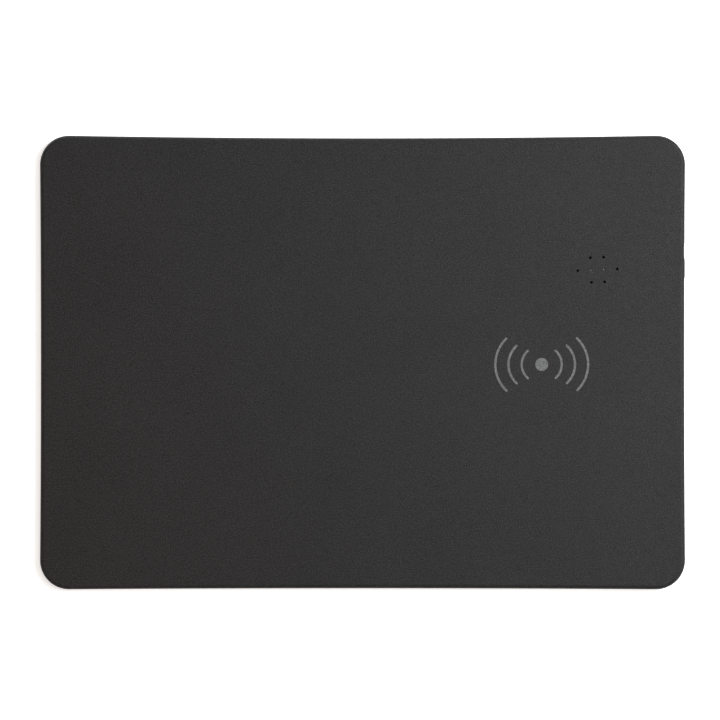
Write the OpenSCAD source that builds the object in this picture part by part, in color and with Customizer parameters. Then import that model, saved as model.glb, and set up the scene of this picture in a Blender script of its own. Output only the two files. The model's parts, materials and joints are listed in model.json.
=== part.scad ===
// Desk pad with a built-in wireless phone charger.
// Millimetres. +X runs along the long side towards the socket, +Y away from the user, +Z up.
// The origin is the middle of the underside, on the desk.

/* [Pad] */
// Length of the pad, left to right
pad_length = 300; // [260:1:380]
// Depth of the pad, near to far, measured at its corners
pad_width = 211; // [175:1:280]
// Thickness from the desk to the working face
pad_thickness = 6; // [6:0.1:9]
// Outside radius of the corners
corner_radius = 13.5; // [8:0.5:30]
// How far the wrap pulls the far long edge in at its middle
far_bow = 1.2; // [0:0.1:2]
// How far the wrap pulls the near long edge in at its middle
near_bow = 0.5; // [0:0.1:2]
// How far the wrap pulls each short edge in at its middle
side_bow = 0.4; // [0:0.1:1]

/* [Leather cover] */
// Thickness of the leather on the face and the sides
leather = 0.8; // [0.6:0.05:1.2]
// Thickness of the skived hem that is turned under
hem_thickness = 0.4; // [0.3:0.05:0.6]
// Width of the turned hem, from the outside of the pad
hem_width = 12; // [8:0.5:18]
// Rounding of the upper edge
top_rounding = 2; // [1:0.1:2]
// Rounding of the lower edge
bottom_rounding = 1.2; // [0.8:0.1:1.4]

/* [Base sheet] */
// Thickness of the rubber base in the middle of the pad
base_thickness = 1; // [0.8:0.1:2]
// Distance of the rubber's edge from the outside of the pad
base_inset = 3; // [1.5:0.5:7]

/* [Charging spot] */
// Middle of the coil, from the pad's right edge
spot_from_right = 66.8; // [66:0.1:85]
// Middle of the coil, from the pad's middle line
spot_from_middle = -0.9; // [-8:0.1:1]
// Outside diameter of the coil
coil_diameter = 44.4; // [37:0.1:53]
// Inside diameter of the coil
coil_hole = 19.6; // [16:0.1:24]
// Diameter of the coil's stranded wire
coil_wire = 1; // [0.6:0.05:1.2]
// How far the ferrite plate reaches past the coil on each side
ferrite_margin = 2.8; // [2:0.1:3.5]
// Thickness of the ferrite plate
ferrite_thickness = 1; // [0.8:0.05:1.2]

/* [Printed mark] */
// Radius of the dot
dot_radius = 3; // [2:0.1:4]
// Width of the arcs' strokes
stroke = 1.05; // [0.6:0.05:1.5]
// Depth of the ink in the leather
ink_depth = 0.08; // [0.05:0.01:0.2]
// Turn of the mark on the face
mark_turn = 0.3; // [-5:0.1:5]

/* [Vent holes] */
// Middle of the pattern, from the pad's right edge
vents_from_right = 40.9; // [38:0.1:42]
// Middle of the pattern, from the pad's middle line
vents_from_middle = 43.05; // [42:0.05:44]
// Diameter of the holes
vent_diameter = 1.2; // [0.8:0.05:1.3]
// Spacing of the holes along a row
vent_pitch_x = 6.1; // [5:0.1:7]
// Spacing of the rows
vent_pitch_y = 5.75; // [5:0.05:7]
// Turn of the pattern on the face
vent_turn = 2.5; // [-5:0.1:5]

/* [Socket] */
// Middle of the socket, from the pad's middle line
port_from_middle = 43.7; // [42.5:0.1:46]
// Outside width of the socket's steel shell
shell_width = 7.5; // [7.4:0.05:7.6]
// Outside height of the socket's steel shell
shell_height = 2.45; // [2.4:0.05:2.5]
// Length of the socket's steel shell
shell_length = 5.4; // [5:0.1:5.6]

/* [Charger module] */
// Thickness of the circuit board
board_thickness = 0.8; // [0.6:0.1:0.9]
// Wall of the module's tray
tray_wall = 1; // [0.8:0.1:1.2]
// Floor of the module's tray
tray_floor = 0.5; // [0.4:0.05:0.6]
// Thickness of the module's cover
cover_thickness = 0.8; // [0.6:0.05:1]

/* [Hidden] */

// Fineness of the outline and of round parts
corner_steps = 8;
side_steps = 10;
rounding_steps = 5;
$fn = 48;

// Small working values
over = 0.5;          // how far a cut runs past the face it opens
fit = 0.1;           // clearance between pieces that are laid into each other
tape = 0.1;          // thickness of double-sided adhesive film

// Heights of the layers
hem_bottom = base_thickness - hem_thickness;
board_bottom = base_thickness;
board_top = pad_thickness - leather;
cover_bottom = board_top - cover_thickness;
floor_top = board_bottom + tray_floor;
pcb_top = floor_top + board_thickness;

// Places across the pad
half_length = pad_length / 2;
half_width = pad_width / 2;
spot = [half_length - spot_from_right, spot_from_middle];

// Points of the pad's outline, moved inwards by inset: round corners joined by sides that bow inwards
least_radius = 1;

function corner_arc(cx, cy, from, r) = [
    for (i = [0 : corner_steps])
        let (a = from + 90 * i / corner_steps)
        [cx + r * cos(a), cy + r * sin(a)]
];

function bowed_side(half, reach, bow, turn) = [
    for (i = [1 : side_steps - 1])
        let (t = 1 - 2 * i / side_steps, along = half * t, out = reach - bow * (1 - t * t))
        [along * cos(turn) - out * sin(turn), along * sin(turn) + out * cos(turn)]
];

function outline(inset) =
    let (
        r = max(corner_radius - inset, least_radius),
        reach_x = half_length - inset,
        reach_y = half_width - inset,
        x = reach_x - r,
        y = reach_y - r
    )
    concat(
        corner_arc(x, y, 0, r), bowed_side(x, reach_y, far_bow, 0),
        corner_arc(-x, y, 90, r), bowed_side(y, reach_x, side_bow, 90),
        corner_arc(-x, -y, 180, r), bowed_side(x, reach_y, near_bow, 180),
        corner_arc(x, -y, 270, r), bowed_side(y, reach_x, side_bow, 270)
    );

// Where the right-hand side stands at the socket
port_y = port_from_middle;
side_at_port = half_length - side_bow * (1 - pow(port_y / (half_width - corner_radius), 2));
lip_face = side_at_port + 0.1;   // the socket bezel's lip stands a little proud of the leather
port_face = lip_face - 0.3;      // the socket's mouth lies behind it
port_z = pcb_top + shell_height / 2;

// A slab of the pad's outline between two heights
module slab(inset, bottom, top) {
    translate([0, 0, bottom]) linear_extrude(height = top - bottom) polygon(outline(inset));
}

// A solid skinned over rings of points that lie one above another
module skinned(rings) {
    n = len(rings[0]);
    last = len(rings) - 1;
    polyhedron(
        points = [for (r = rings) for (p = r) p],
        faces = concat(
            [[for (i = [0 : n - 1]) i]],
            [[for (i = [n - 1 : -1 : 0]) last * n + i]],
            [for (k = [0 : last - 1]) for (i = [0 : n - 1])
                [k * n + i, (k + 1) * n + i, (k + 1) * n + (i + 1) % n]],
            [for (k = [0 : last - 1]) for (i = [0 : n - 1])
                [k * n + i, (k + 1) * n + (i + 1) % n, k * n + (i + 1) % n]]
        )
    );
}

function raised(points, z) = [for (p = points) [p[0], p[1], z]];

// A round wire of diameter d along a list of points
function unit(v) = v / norm(v);
function tangent(path, i) =
    unit(path[min(i + 1, len(path) - 1)] - path[max(i - 1, 0)]);
function wire_ring(path, i, r, sides) =
    let (t = tangent(path, i), s = unit(cross([0, 0, 1], t)), u = cross(t, s))
    [for (k = [0 : sides - 1]) path[i] + r * cos(360 * k / sides) * s + r * sin(360 * k / sides) * u];

module wire(path, d, sides = 8) {
    skinned([for (i = [0 : len(path) - 1]) wire_ring(path, i, d / 2, sides)]);
}

// A block with a base centred on a point
module block(at, size, bottom) {
    translate([at[0] - size[0] / 2, at[1] - size[1] / 2, bottom]) cube(size);
}

// A plate with round corners, centred on a point
module round_plate(at, size, r, bottom) {
    translate([at[0], at[1], bottom]) {
        block([0, 0], [size[0] - 2 * r, size[1], size[2]], 0);
        block([0, 0], [size[0], size[1] - 2 * r, size[2]], 0);
        for (sx = [-1, 1], sy = [-1, 1])
            translate([sx * (size[0] / 2 - r), sy * (size[1] / 2 - r), 0])
                cylinder(h = size[2], r = r);
    }
}

// ---------------------------------------------------------------- outside pieces

// Holes over the indicator lights: rows of two, four and two
vent_middle = [half_length - vents_from_right, vents_from_middle];
vent_rows = [[1, [-0.5, 0.5]], [0, [-1.5, -0.5, 0.5, 1.5]], [-1, [-0.5, 0.5]]];
vent_places = [
    for (row = vent_rows) for (i = row[1])
        let (x = i * vent_pitch_x, y = row[0] * vent_pitch_y)
        vent_middle + [x * cos(vent_turn) - y * sin(vent_turn), x * sin(vent_turn) + y * cos(vent_turn)]
];
light_places = [vent_places[3], vent_places[4]];
open_places = [for (i = [0, 1, 2, 5, 6, 7]) vent_places[i]];

module holes_at(places, d, bottom, top) {
    for (p = places)
        translate([p[0], p[1], bottom]) cylinder(h = top - bottom, d = d);
}

// One arc of the printed mark, on the side that it faces: radius, centre offset, half angle
mark_arcs = [[8.45, 0.85, 48.5], [11.95, 3.5, 47], [16.75, 4.8, 46]];

module mark_arc(arc, depth) {
    translate([arc[1], 0, 0]) {
        rotate([0, 0, -arc[2]]) rotate_extrude(angle = 2 * arc[2], $fn = 96)
            translate([arc[0] - stroke / 2, 0]) square([stroke, depth]);
        for (s = [-1, 1])
            rotate([0, 0, s * arc[2]]) translate([arc[0], 0, 0]) cylinder(h = depth, d = stroke);
    }
}

module mark_shape(bottom, depth) {
    translate([spot[0], spot[1], bottom]) rotate([0, 0, mark_turn]) {
        cylinder(h = depth, r = dot_radius);
        for (arc = mark_arcs, side = [0, 180])
            rotate([0, 0, side]) mark_arc(arc, depth);
    }
}

module charge_mark() {
    color("#767879") mark_shape(pad_thickness - ink_depth, ink_depth);
}

// The socket's bezel reaches through a slot with round corners in the leather's side
lip_size = [shell_width + 1.6, shell_height + 0.8];
lip_gap = 0.05;
slot_size = [lip_size[0] + 2 * lip_gap, lip_size[1] + 2 * lip_gap];
slot_radius = 1.2;

module side_slot(size, r, from_x, to_x) {
    translate([from_x, port_y, port_z]) rotate([90, 0, 90])
        round_plate([0, 0], [size[0], size[1], to_x - from_x], r, 0);
}

// The rounded outside of the wrapped pad
function rounding(r, steps, flip) = [
    for (i = [0 : steps])
        let (a = 90 * (flip ? steps - i : i) / steps)
        [r * (1 - cos(a)), r * (1 - sin(a))]
];

// The upper rounding leaves this much leather outside the board's square edge
least_leather = 0.3;
top_radius = min(top_rounding, (leather * sqrt(2) - least_leather) / (sqrt(2) - 1));

module wrapped_body() {
    low = rounding(bottom_rounding, rounding_steps, true);
    high = rounding(top_radius, rounding_steps, false);
    skinned(concat(
        [for (p = low) raised(outline(p[0]), hem_bottom + p[1])],
        [for (p = high) raised(outline(p[0]), pad_thickness - p[1])]
    ));
}

module leather_cover() {
    color("#3b3b3d") difference() {
        wrapped_body();
        slab(leather, board_bottom, board_top);
        slab(hem_width, hem_bottom - over, board_bottom + over);
        holes_at(vent_places, vent_diameter, board_top - over, pad_thickness + over);
        side_slot(slot_size, slot_radius, side_at_port - leather - over, half_length + over);
        mark_shape(pad_thickness - ink_depth, ink_depth + over);
    }
}

module base_sheet() {
    color("#1d1d1e") {
        slab(base_inset, 0, hem_bottom);
        slab(hem_width + fit, 0, base_thickness);
    }
}

// ---------------------------------------------------------------- module pocket and tray

// Heights in the module: the coil hangs from the cover, the circuit board stands on the floor
coil_gap = 0.2;                  // between the coil and the cover
coil_z = cover_bottom - coil_gap - coil_wire / 2;
ferrite_top = coil_z - coil_wire / 2 - tape;
plinth_top = ferrite_top - ferrite_thickness - tape;
lead_room = 0.1;                 // round the inner lead in its channel
lead_z = ferrite_top - lead_room - coil_wire / 2;
pad_z = pcb_top + coil_wire / 2;

// The coil's inner lead drops through the ferrite's middle and leaves under the turns
ferrite_side = coil_diameter + 2 * ferrite_margin;
ferrite_edge_y = spot[1] + ferrite_side / 2;
wire_end_radius = (coil_diameter - coil_wire) / 2;
outer_lead_x = spot[0] + wire_end_radius;
lead_angle = 60;
tail_radius = 3.5;               // where the inner lead straightens
tail_start = [tail_radius * cos(lead_angle + 90), tail_radius * sin(lead_angle + 90)];

// The circuit board: its near edge clears the ferrite, its left edge takes the inner lead
lead_run = 5.4;                  // between the ferrite and the board
bezel_size = [12.4, 1.6];        // width and thickness of the socket bezel's flange
pcb_near = ferrite_edge_y + lead_run;
pcb_far = port_y + 12.6;
channel_end = (ferrite_side / 2 - tail_start[1]) / sin(lead_angle);
board_meet = (pcb_near - spot[1] - tail_start[1]) / sin(lead_angle);
pcb_left = spot[0] + tail_start[0] + board_meet * cos(lead_angle) - 2.4;
pcb_right = side_at_port - leather - bezel_size[1] - 0.26;

// Two bays that join: one for the coil, one for the circuit board, which runs out to the right edge
bay_gap = 2;                     // from what lies in a bay to the tray's wall
coil_bay_side = ferrite_side + 2 * (bay_gap + tray_wall);
pcb_bay_left = pcb_left - bay_gap - tray_wall;
pcb_bay_near = ferrite_edge_y - bay_gap;
pcb_bay_far = pcb_far + bay_gap;
bay_radius = 2;

module bays(grow, bottom, top, past_edge) {
    height = top - bottom;
    round_plate(spot, [coil_bay_side + 2 * grow, coil_bay_side + 2 * grow, height], bay_radius, bottom);
    right = half_length + past_edge;
    round_plate([(pcb_bay_left + right) / 2, (pcb_bay_near + pcb_bay_far) / 2],
                [right - pcb_bay_left + 2 * grow, pcb_bay_far - pcb_bay_near + 2 * grow, height],
                bay_radius, bottom);
}

// The bays as they end at the inside of the leather's side wall
module bays_in_board(grow, bottom, top, edge_gap = 0) {
    intersection() {
        bays(grow, bottom, top, 10);
        slab(leather + edge_gap, bottom - over, top + over);
    }
}

module core_board() {
    color("#8a6f4e") difference() {
        slab(leather, board_bottom, board_top);
        bays(fit, board_bottom - over, board_top + over, 20);
    }
}

// Posts that hold the circuit board, riveted over by heat
stake_places = [
    [pcb_left + 1.8, pcb_far - 1.8], [pcb_right - 2.5, pcb_far - 2.5],
    [pcb_right - 2.5, pcb_near + 2.5], [outer_lead_x + 3.5, pcb_near + 2.5]
];
stake_diameter = 1.6;
stake_hole = stake_diameter + 0.2;
stake_head = [2.6, 1.8, 0.45];   // lower and upper diameter, and height
rooted = tray_floor / 2;         // how deep posts and plinth run into the tray's floor

module module_tray() {
    color("#232426") {
        difference() {
            bays_in_board(0, board_bottom, cover_bottom);
            bays_in_board(-tray_wall, floor_top, cover_bottom + over, tray_wall);
            port_cut([bezel_size[0] + 2 * fit, bezel_size[1] + tray_wall + 1], floor_top);
        }
        difference() {
            block(spot, [ferrite_side, ferrite_side, plinth_top - floor_top + rooted], floor_top - rooted);
            lead_channel(lead_z - coil_wire / 2 - lead_room, plinth_top + over);
        }
        for (p = stake_places) translate([p[0], p[1], floor_top - rooted]) {
            cylinder(h = pcb_top - floor_top + rooted + stake_head[2], d = stake_diameter);
            translate([0, 0, pcb_top - floor_top + rooted])
                cylinder(h = stake_head[2], d1 = stake_head[0], d2 = stake_head[1]);
        }
    }
}

// A notch at the right edge, as wide as size[0] and reaching size[1] inwards, open upwards
module port_cut(size, bottom) {
    translate([side_at_port - leather - size[1], port_y - size[0] / 2, bottom])
        cube([size[1] + leather, size[0], pad_thickness]);
}

rim = [0.8, 0.5];                // width and depth of the cover's locating rim

module module_cover() {
    color("#232426") difference() {
        union() {
            bays_in_board(0, cover_bottom, board_top);
            difference() {
                bays_in_board(-tray_wall - fit, cover_bottom - rim[1], cover_bottom + fit, tray_wall + fit);
                bays_in_board(-tray_wall - fit - rim[0], cover_bottom - rim[1] - over, cover_bottom,
                              tray_wall + fit + rim[0]);
            }
        }
        port_cut([bezel_size[0] + 2 * fit, shell_length + 2], cover_bottom - rim[1] - over);
        holes_at(open_places, vent_diameter + 0.4, cover_bottom - over, board_top + over);
        holes_at(light_places, pipe_diameter + 0.1, cover_bottom - over, board_top + over);
    }
}

// Patches of black gauze under the cover's open holes keep dust out of the module
gauze_patch = 3;                 // diameter of each patch

module dust_gauze() {
    color("#151516") difference() {
        holes_at(open_places, gauze_patch, cover_bottom - tape, cover_bottom);
        block(power_at, [power_size[0], power_size[1], tape + 2 * over], cover_bottom - tape - over);
    }
}

// ---------------------------------------------------------------- coil

// As many turns as fit between the two diameters; three quarters of a turn bring the end round
turn_gap = 0.15;
winding_room = (coil_diameter - coil_hole) / 2 - coil_wire;
coil_turns = floor(winding_room / (coil_wire + turn_gap) - 0.75) + 0.75;
turn_pitch = winding_room / coil_turns;
inner_radius = wire_end_radius - winding_room;
well_radius = tail_radius + coil_wire / 2 + 1.6;
channel_width = coil_wire + 1;
lead_gap = 0.6;                  // from an edge that a lead passes to its bend
lead_on_board = 3;               // length of each lead that lies on the board
turn_steps = 28;
tail_steps = 26;

// Off the board, up beside the ferrite and straight onto the outermost turn
outer_slope = [
    [outer_lead_x, pcb_near - lead_gap, pad_z],
    [outer_lead_x, ferrite_edge_y + lead_gap, coil_z]
];
outer_lead = [
    [outer_lead_x, pcb_near + lead_on_board, pad_z],
    outer_slope[0],
    outer_slope[1],
    [outer_lead_x, spot[1] + 12, coil_z]
];
turns = [
    for (i = [0 : turn_steps * coil_turns])
        let (t = i / turn_steps, r = wire_end_radius - turn_pitch * t)
        [spot[0] + r * cos(360 * t), spot[1] - r * sin(360 * t), coil_z]
];
// Inside the coil the wire winds on inwards, then drops into the ferrite's hole
start_angle = 90;
tail_sweep = start_angle - (lead_angle + 90 - 360);
curl_end = 0.82;                 // share of the tail over which it winds in
drop_start = 0.72;               // share of the tail from which it drops
tail = [
    for (i = [1 : tail_steps])
        let (f = i / tail_steps, a = start_angle - tail_sweep * f,
             r = inner_radius + (tail_radius - inner_radius) * min(1, f / curl_end),
             drop = max(0, (f - drop_start) / (1 - drop_start)))
        [spot[0] + r * cos(a), spot[1] + r * sin(a), coil_z + (lead_z - coil_z) * (1 - cos(180 * drop)) / 2]
];
// A point at distance s along the inner lead, which runs straight from the tail to the board
function along_channel(s, z) =
    [spot[0] + tail_start[0] + s * cos(lead_angle), spot[1] + tail_start[1] + s * sin(lead_angle), z];
inner_slope = [along_channel(channel_end + lead_gap, lead_z), along_channel(board_meet - lead_gap, pad_z)];
inner_lead = [
    along_channel(6, lead_z),
    along_channel(15, lead_z),
    inner_slope[0],
    inner_slope[1],
    along_channel(board_meet + lead_on_board, pad_z)
];

module charging_coil() {
    color("#b56a3a") wire(concat(outer_lead, turns, tail, inner_lead), coil_wire);
}

// Room for the inner lead in the ferrite and its adhesive
module lead_channel(bottom, top) {
    translate([spot[0], spot[1], bottom]) {
        cylinder(h = top - bottom, r = well_radius);
        translate([tail_start[0], tail_start[1], 0]) rotate([0, 0, lead_angle])
            translate([0, -channel_width / 2, 0]) cube([ferrite_side, channel_width, top - bottom]);
    }
}

module ferrite_adhesive() {
    color("#d8d4c4") difference() {
        block(spot, [ferrite_side - 2, ferrite_side - 2, tape], plinth_top);
        lead_channel(plinth_top - over, ferrite_top + over);
    }
}

module ferrite_plate() {
    color("#3f4246") difference() {
        round_plate(spot, [ferrite_side, ferrite_side, ferrite_thickness], 1.5, plinth_top + tape);
        lead_channel(plinth_top - over, ferrite_top + over);
    }
}

module coil_adhesive() {
    color("#d8d4c4") translate([spot[0], spot[1], ferrite_top]) difference() {
        cylinder(h = tape, d = coil_diameter - 0.6);
        translate([0, 0, -over]) cylinder(h = tape + 2 * over, d = coil_hole + 0.6);
    }
}

// Sleeves on the two leads, where they slope between the ferrite and the circuit board
sleeve_length = lead_run - 2 * lead_gap - 0.6;
sleeve_clearance = 0.04;
sleeve_wall = 0.14;

module lead_sleeve(slope) {
    run = slope[1] - slope[0];
    middle = (slope[0] + slope[1]) / 2;
    bore = coil_wire + 2 * sleeve_clearance;
    translate(middle) rotate([0, acos(run[2] / norm(run)), atan2(run[1], run[0])]) difference() {
        cylinder(h = sleeve_length, d = bore + 2 * sleeve_wall, center = true);
        cylinder(h = sleeve_length + 2 * over, d = bore, center = true);
    }
}

module lead_sleeves() {
    color("#c9c5b4") {
        lead_sleeve(outer_slope);
        lead_sleeve(inner_slope);
    }
}

// ---------------------------------------------------------------- temperature sensor

// The bead lies on the ferrite beside the coil; its two wires run up to the board between the leads
bead_radius = 0.55;
bead_angle = 48;
bead_from_spot = coil_diameter / 2 + bead_radius + 0.6;
bead = [
    spot[0] + bead_from_spot * cos(bead_angle),
    spot[1] + bead_from_spot * sin(bead_angle),
    ferrite_top + bead_radius
];
sensor_wire = 0.36;
sensor_z = pcb_top + sensor_wire / 2;
sensor_spread = 1;
sensor_x = (outer_lead_x + along_channel(board_meet + lead_on_board, 0)[0]) / 2;

module temperature_sensor() {
    color("#20222a") {
        translate(bead) sphere(r = bead_radius, $fn = 32);
        for (i = [0, 1]) {
            side = i - 0.5;
            pad_x = sensor_x + side * sensor_spread;
            wire([
                bead + [0.3 * side, 0.2, 0],
                bead + [0.6 * side, 1, 0],
                [pad_x, ferrite_edge_y + 0.5, ferrite_top + 0.5],
                [pad_x, pcb_near - 1, sensor_z + 0.1],
                [pad_x, pcb_near + 0.4, sensor_z],
                [pad_x, pcb_near + 1.8, sensor_z]
            ], sensor_wire, 6);
        }
    }
}

// ---------------------------------------------------------------- circuit board

// Chips stand on the board: place, and length, width and height
module chips(places, size) {
    for (p = places) block(p, size, pcb_top);
}

module circuit_board() {
    color("#1f5a3a") difference() {
        round_plate([(pcb_left + pcb_right) / 2, (pcb_near + pcb_far) / 2],
                    [pcb_right - pcb_left, pcb_far - pcb_near, board_thickness], 1, floor_top);
        holes_at(stake_places, stake_hole, floor_top - over, pcb_top + over);
    }
}

controller_at = [pcb_right - 25, port_y + 4.6];
controller_size = [6, 6, 0.9];
power_at = [pcb_left + 6, port_y + 6.6];
power_size = [5, 5, 0.9];

module controller_chip() {
    color("#1b1c1e") chips([controller_at], controller_size);
}

module power_chip() {
    color("#1b1c1e") chips([power_at], power_size);
}

module thermal_pad() {
    color("#8fa3b5")
        block(power_at, [power_size[0] - 0.4, power_size[1] - 0.4, cover_bottom - pcb_top - power_size[2]],
              pcb_top + power_size[2]);
}

module resonance_capacitors() {
    color("#b08c63") chips([for (i = [0 : 3]) [pcb_left + 18.5 + 2.4 * i, port_y - 8]], [1.6, 3.2, 1.6]);
}

module input_capacitors() {
    color("#a98a63") chips([for (i = [0, 1]) [pcb_right - 13 + 3.6 * i, port_y - 8]], [2.5, 3.2, 1.8]);
}

module power_inductor() {
    color("#4a4b4d") round_plate([pcb_right - 18.5, port_y - 7.6], [4, 4, 1.8], 0.6, pcb_top);
}

module shunt_resistor() {
    color("#2b2c2e") chips([[pcb_right - 16, port_y + 7.6]], [3.2, 1.6, 0.6]);
}

module chip_resistors() {
    color("#26272a")
        chips([for (i = [0 : 4], j = [0, 1]) [pcb_right - 19.5 + 2.4 * i, port_y - 2.9 + 1.8 * j]],
              [1.6, 0.8, 0.45]);
}

module chip_capacitors() {
    color("#b89870")
        chips([for (i = [0 : 3], j = [0, 1]) [pcb_right - 18.5 + 2.6 * i, port_y + 2.1 + 1.9 * j]],
              [1.6, 0.8, 0.8]);
}

led_size = [2, 1.25, 0.8];
pipe_diameter = 0.8;
pipe_flange = [2.2, 0.5];

module status_leds() {
    color("#e8e4cf") chips(light_places, led_size);
}

// Clear pipes that carry the light up to the leather
module light_pipes() {
    color("#cfd6da") for (p = light_places) translate([p[0], p[1], 0]) {
        translate([0, 0, pcb_top + led_size[2] + 0.15])
            cylinder(h = board_top - pcb_top - led_size[2] - 0.15, d = pipe_diameter);
        translate([0, 0, cover_bottom - pipe_flange[1]]) cylinder(h = pipe_flange[1], d = pipe_flange[0]);
    }
}

// ---------------------------------------------------------------- socket

// The socket's outline is wide at the top, with its lower corners cut off, and grows outwards by grow
shell_wall = 0.25;
shell_bevel = 0.8;
bezel_gap = 0.08;                // between the shell and the bezel

module socket_shape(grow, from_x, to_x) {
    half = [shell_width / 2 + grow, shell_height / 2 + grow];
    bevel = shell_bevel + grow * (2 - sqrt(2));
    translate([from_x, port_y, port_z]) rotate([90, 0, 90]) linear_extrude(height = to_x - from_x)
        polygon([
            [-half[0], half[1]], [-half[0], bevel - half[1]], [bevel - half[0], -half[1]],
            [half[0] - bevel, -half[1]], [half[0], bevel - half[1]], [half[0], half[1]]
        ]);
}

module port_bezel() {
    color("#2a2b2d") difference() {
        union() {
            intersection() {
                block([side_at_port - leather - bezel_size[1] / 2 + over, port_y],
                      [bezel_size[1] + 2 * over, bezel_size[0], board_top - floor_top], floor_top);
                slab(leather, board_bottom, board_top);
            }
            side_slot(lip_size, slot_radius - lip_gap, side_at_port - leather - over, lip_face);
        }
        socket_shape(bezel_gap, side_at_port - leather - bezel_size[1] - over, lip_face + over);
    }
}

shell_back = port_face - shell_length;
tab = [1.6, 0.9, 0.3];           // tabs that are soldered to the board

module socket_shell() {
    color("#b9bcc0") {
        difference() {
            socket_shape(0, shell_back, port_face);
            socket_shape(-shell_wall, shell_back + shell_wall, port_face + over);
        }
        for (s = [-1, 1])
            block([shell_back + 1.6, port_y + s * (shell_width / 2 - shell_bevel + tab[1] / 2)], tab, pcb_top);
    }
}

plug_fit = 0.02;                 // between the insulator and the shell
insulator_back = shell_back + shell_wall + plug_fit;
insulator_front = insulator_back + 1.1;
tongue = [3.6, 3.7, 0.65];       // reach, width and height of the tongue

module socket_insulator() {
    color("#1c1c1d") {
        socket_shape(-shell_wall - plug_fit, insulator_back, insulator_front);
        translate([insulator_front - over, port_y - tongue[1] / 2, port_z])
            cube([tongue[0] + over, tongue[1], tongue[2]]);
    }
}

contact_pitch = 0.65;
contact = [tongue[0] - 0.3, 0.36, 0.12];

module socket_contacts() {
    color("#c9a24b") for (i = [-2 : 2])
        translate([insulator_front, port_y + i * contact_pitch - contact[1] / 2, port_z - contact[2]])
            cube(contact);
}

// ---------------------------------------------------------------- assembly

leather_cover();
charge_mark();
core_board();
base_sheet();
port_bezel();
module_tray();
module_cover();
dust_gauze();
ferrite_adhesive();
ferrite_plate();
coil_adhesive();
charging_coil();
lead_sleeves();
temperature_sensor();
circuit_board();
controller_chip();
power_chip();
thermal_pad();
resonance_capacitors();
input_capacitors();
shunt_resistor();
power_inductor();
chip_resistors();
chip_capacitors();
status_leds();
light_pipes();
socket_shell();
socket_insulator();
socket_contacts();
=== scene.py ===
"""Looks of a leather desk pad with a wireless phone charger built into its right-hand end.

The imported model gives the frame: every place comes from its nodes and its record. This script
gives the outside pieces their fine shape, dresses the charger inside, and lights the pad.
"""

import json
import logging
import math
from collections.abc import Callable, Iterable, Sequence
from dataclasses import dataclass
from enum import Enum

import bmesh
import bpy
from mathutils import Matrix, Vector


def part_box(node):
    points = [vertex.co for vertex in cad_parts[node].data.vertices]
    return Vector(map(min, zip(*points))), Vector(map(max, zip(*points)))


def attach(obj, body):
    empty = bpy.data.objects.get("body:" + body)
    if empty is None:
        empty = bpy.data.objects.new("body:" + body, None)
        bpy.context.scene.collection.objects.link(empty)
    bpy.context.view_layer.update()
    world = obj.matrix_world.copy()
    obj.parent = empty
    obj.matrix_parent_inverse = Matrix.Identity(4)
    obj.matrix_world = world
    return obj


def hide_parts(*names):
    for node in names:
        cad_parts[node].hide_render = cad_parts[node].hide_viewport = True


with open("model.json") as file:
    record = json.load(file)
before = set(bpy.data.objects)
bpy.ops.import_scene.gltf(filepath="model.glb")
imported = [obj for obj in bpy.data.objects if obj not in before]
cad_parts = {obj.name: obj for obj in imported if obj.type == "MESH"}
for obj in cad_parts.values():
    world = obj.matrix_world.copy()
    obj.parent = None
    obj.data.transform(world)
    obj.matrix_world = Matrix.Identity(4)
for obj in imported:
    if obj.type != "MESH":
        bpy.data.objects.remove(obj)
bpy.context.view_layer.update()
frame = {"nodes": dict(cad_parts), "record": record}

log = logging.getLogger("desk_pad")

MM = 0.001
TOUCH = 1e-6  # places less than this far apart count as one
Colour = tuple[float, float, float]
Place = tuple[float, float]


# ---------------------------------------------------------------- the bench


class Element(Enum):
    """What is picked in edit mode."""

    VERTS = "VERT"
    EDGES = "EDGE"
    FACES = "FACE"


class Cut(Enum):
    """How one solid works on another."""

    TAKE_AWAY = "DIFFERENCE"
    ADD = "UNION"


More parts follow.
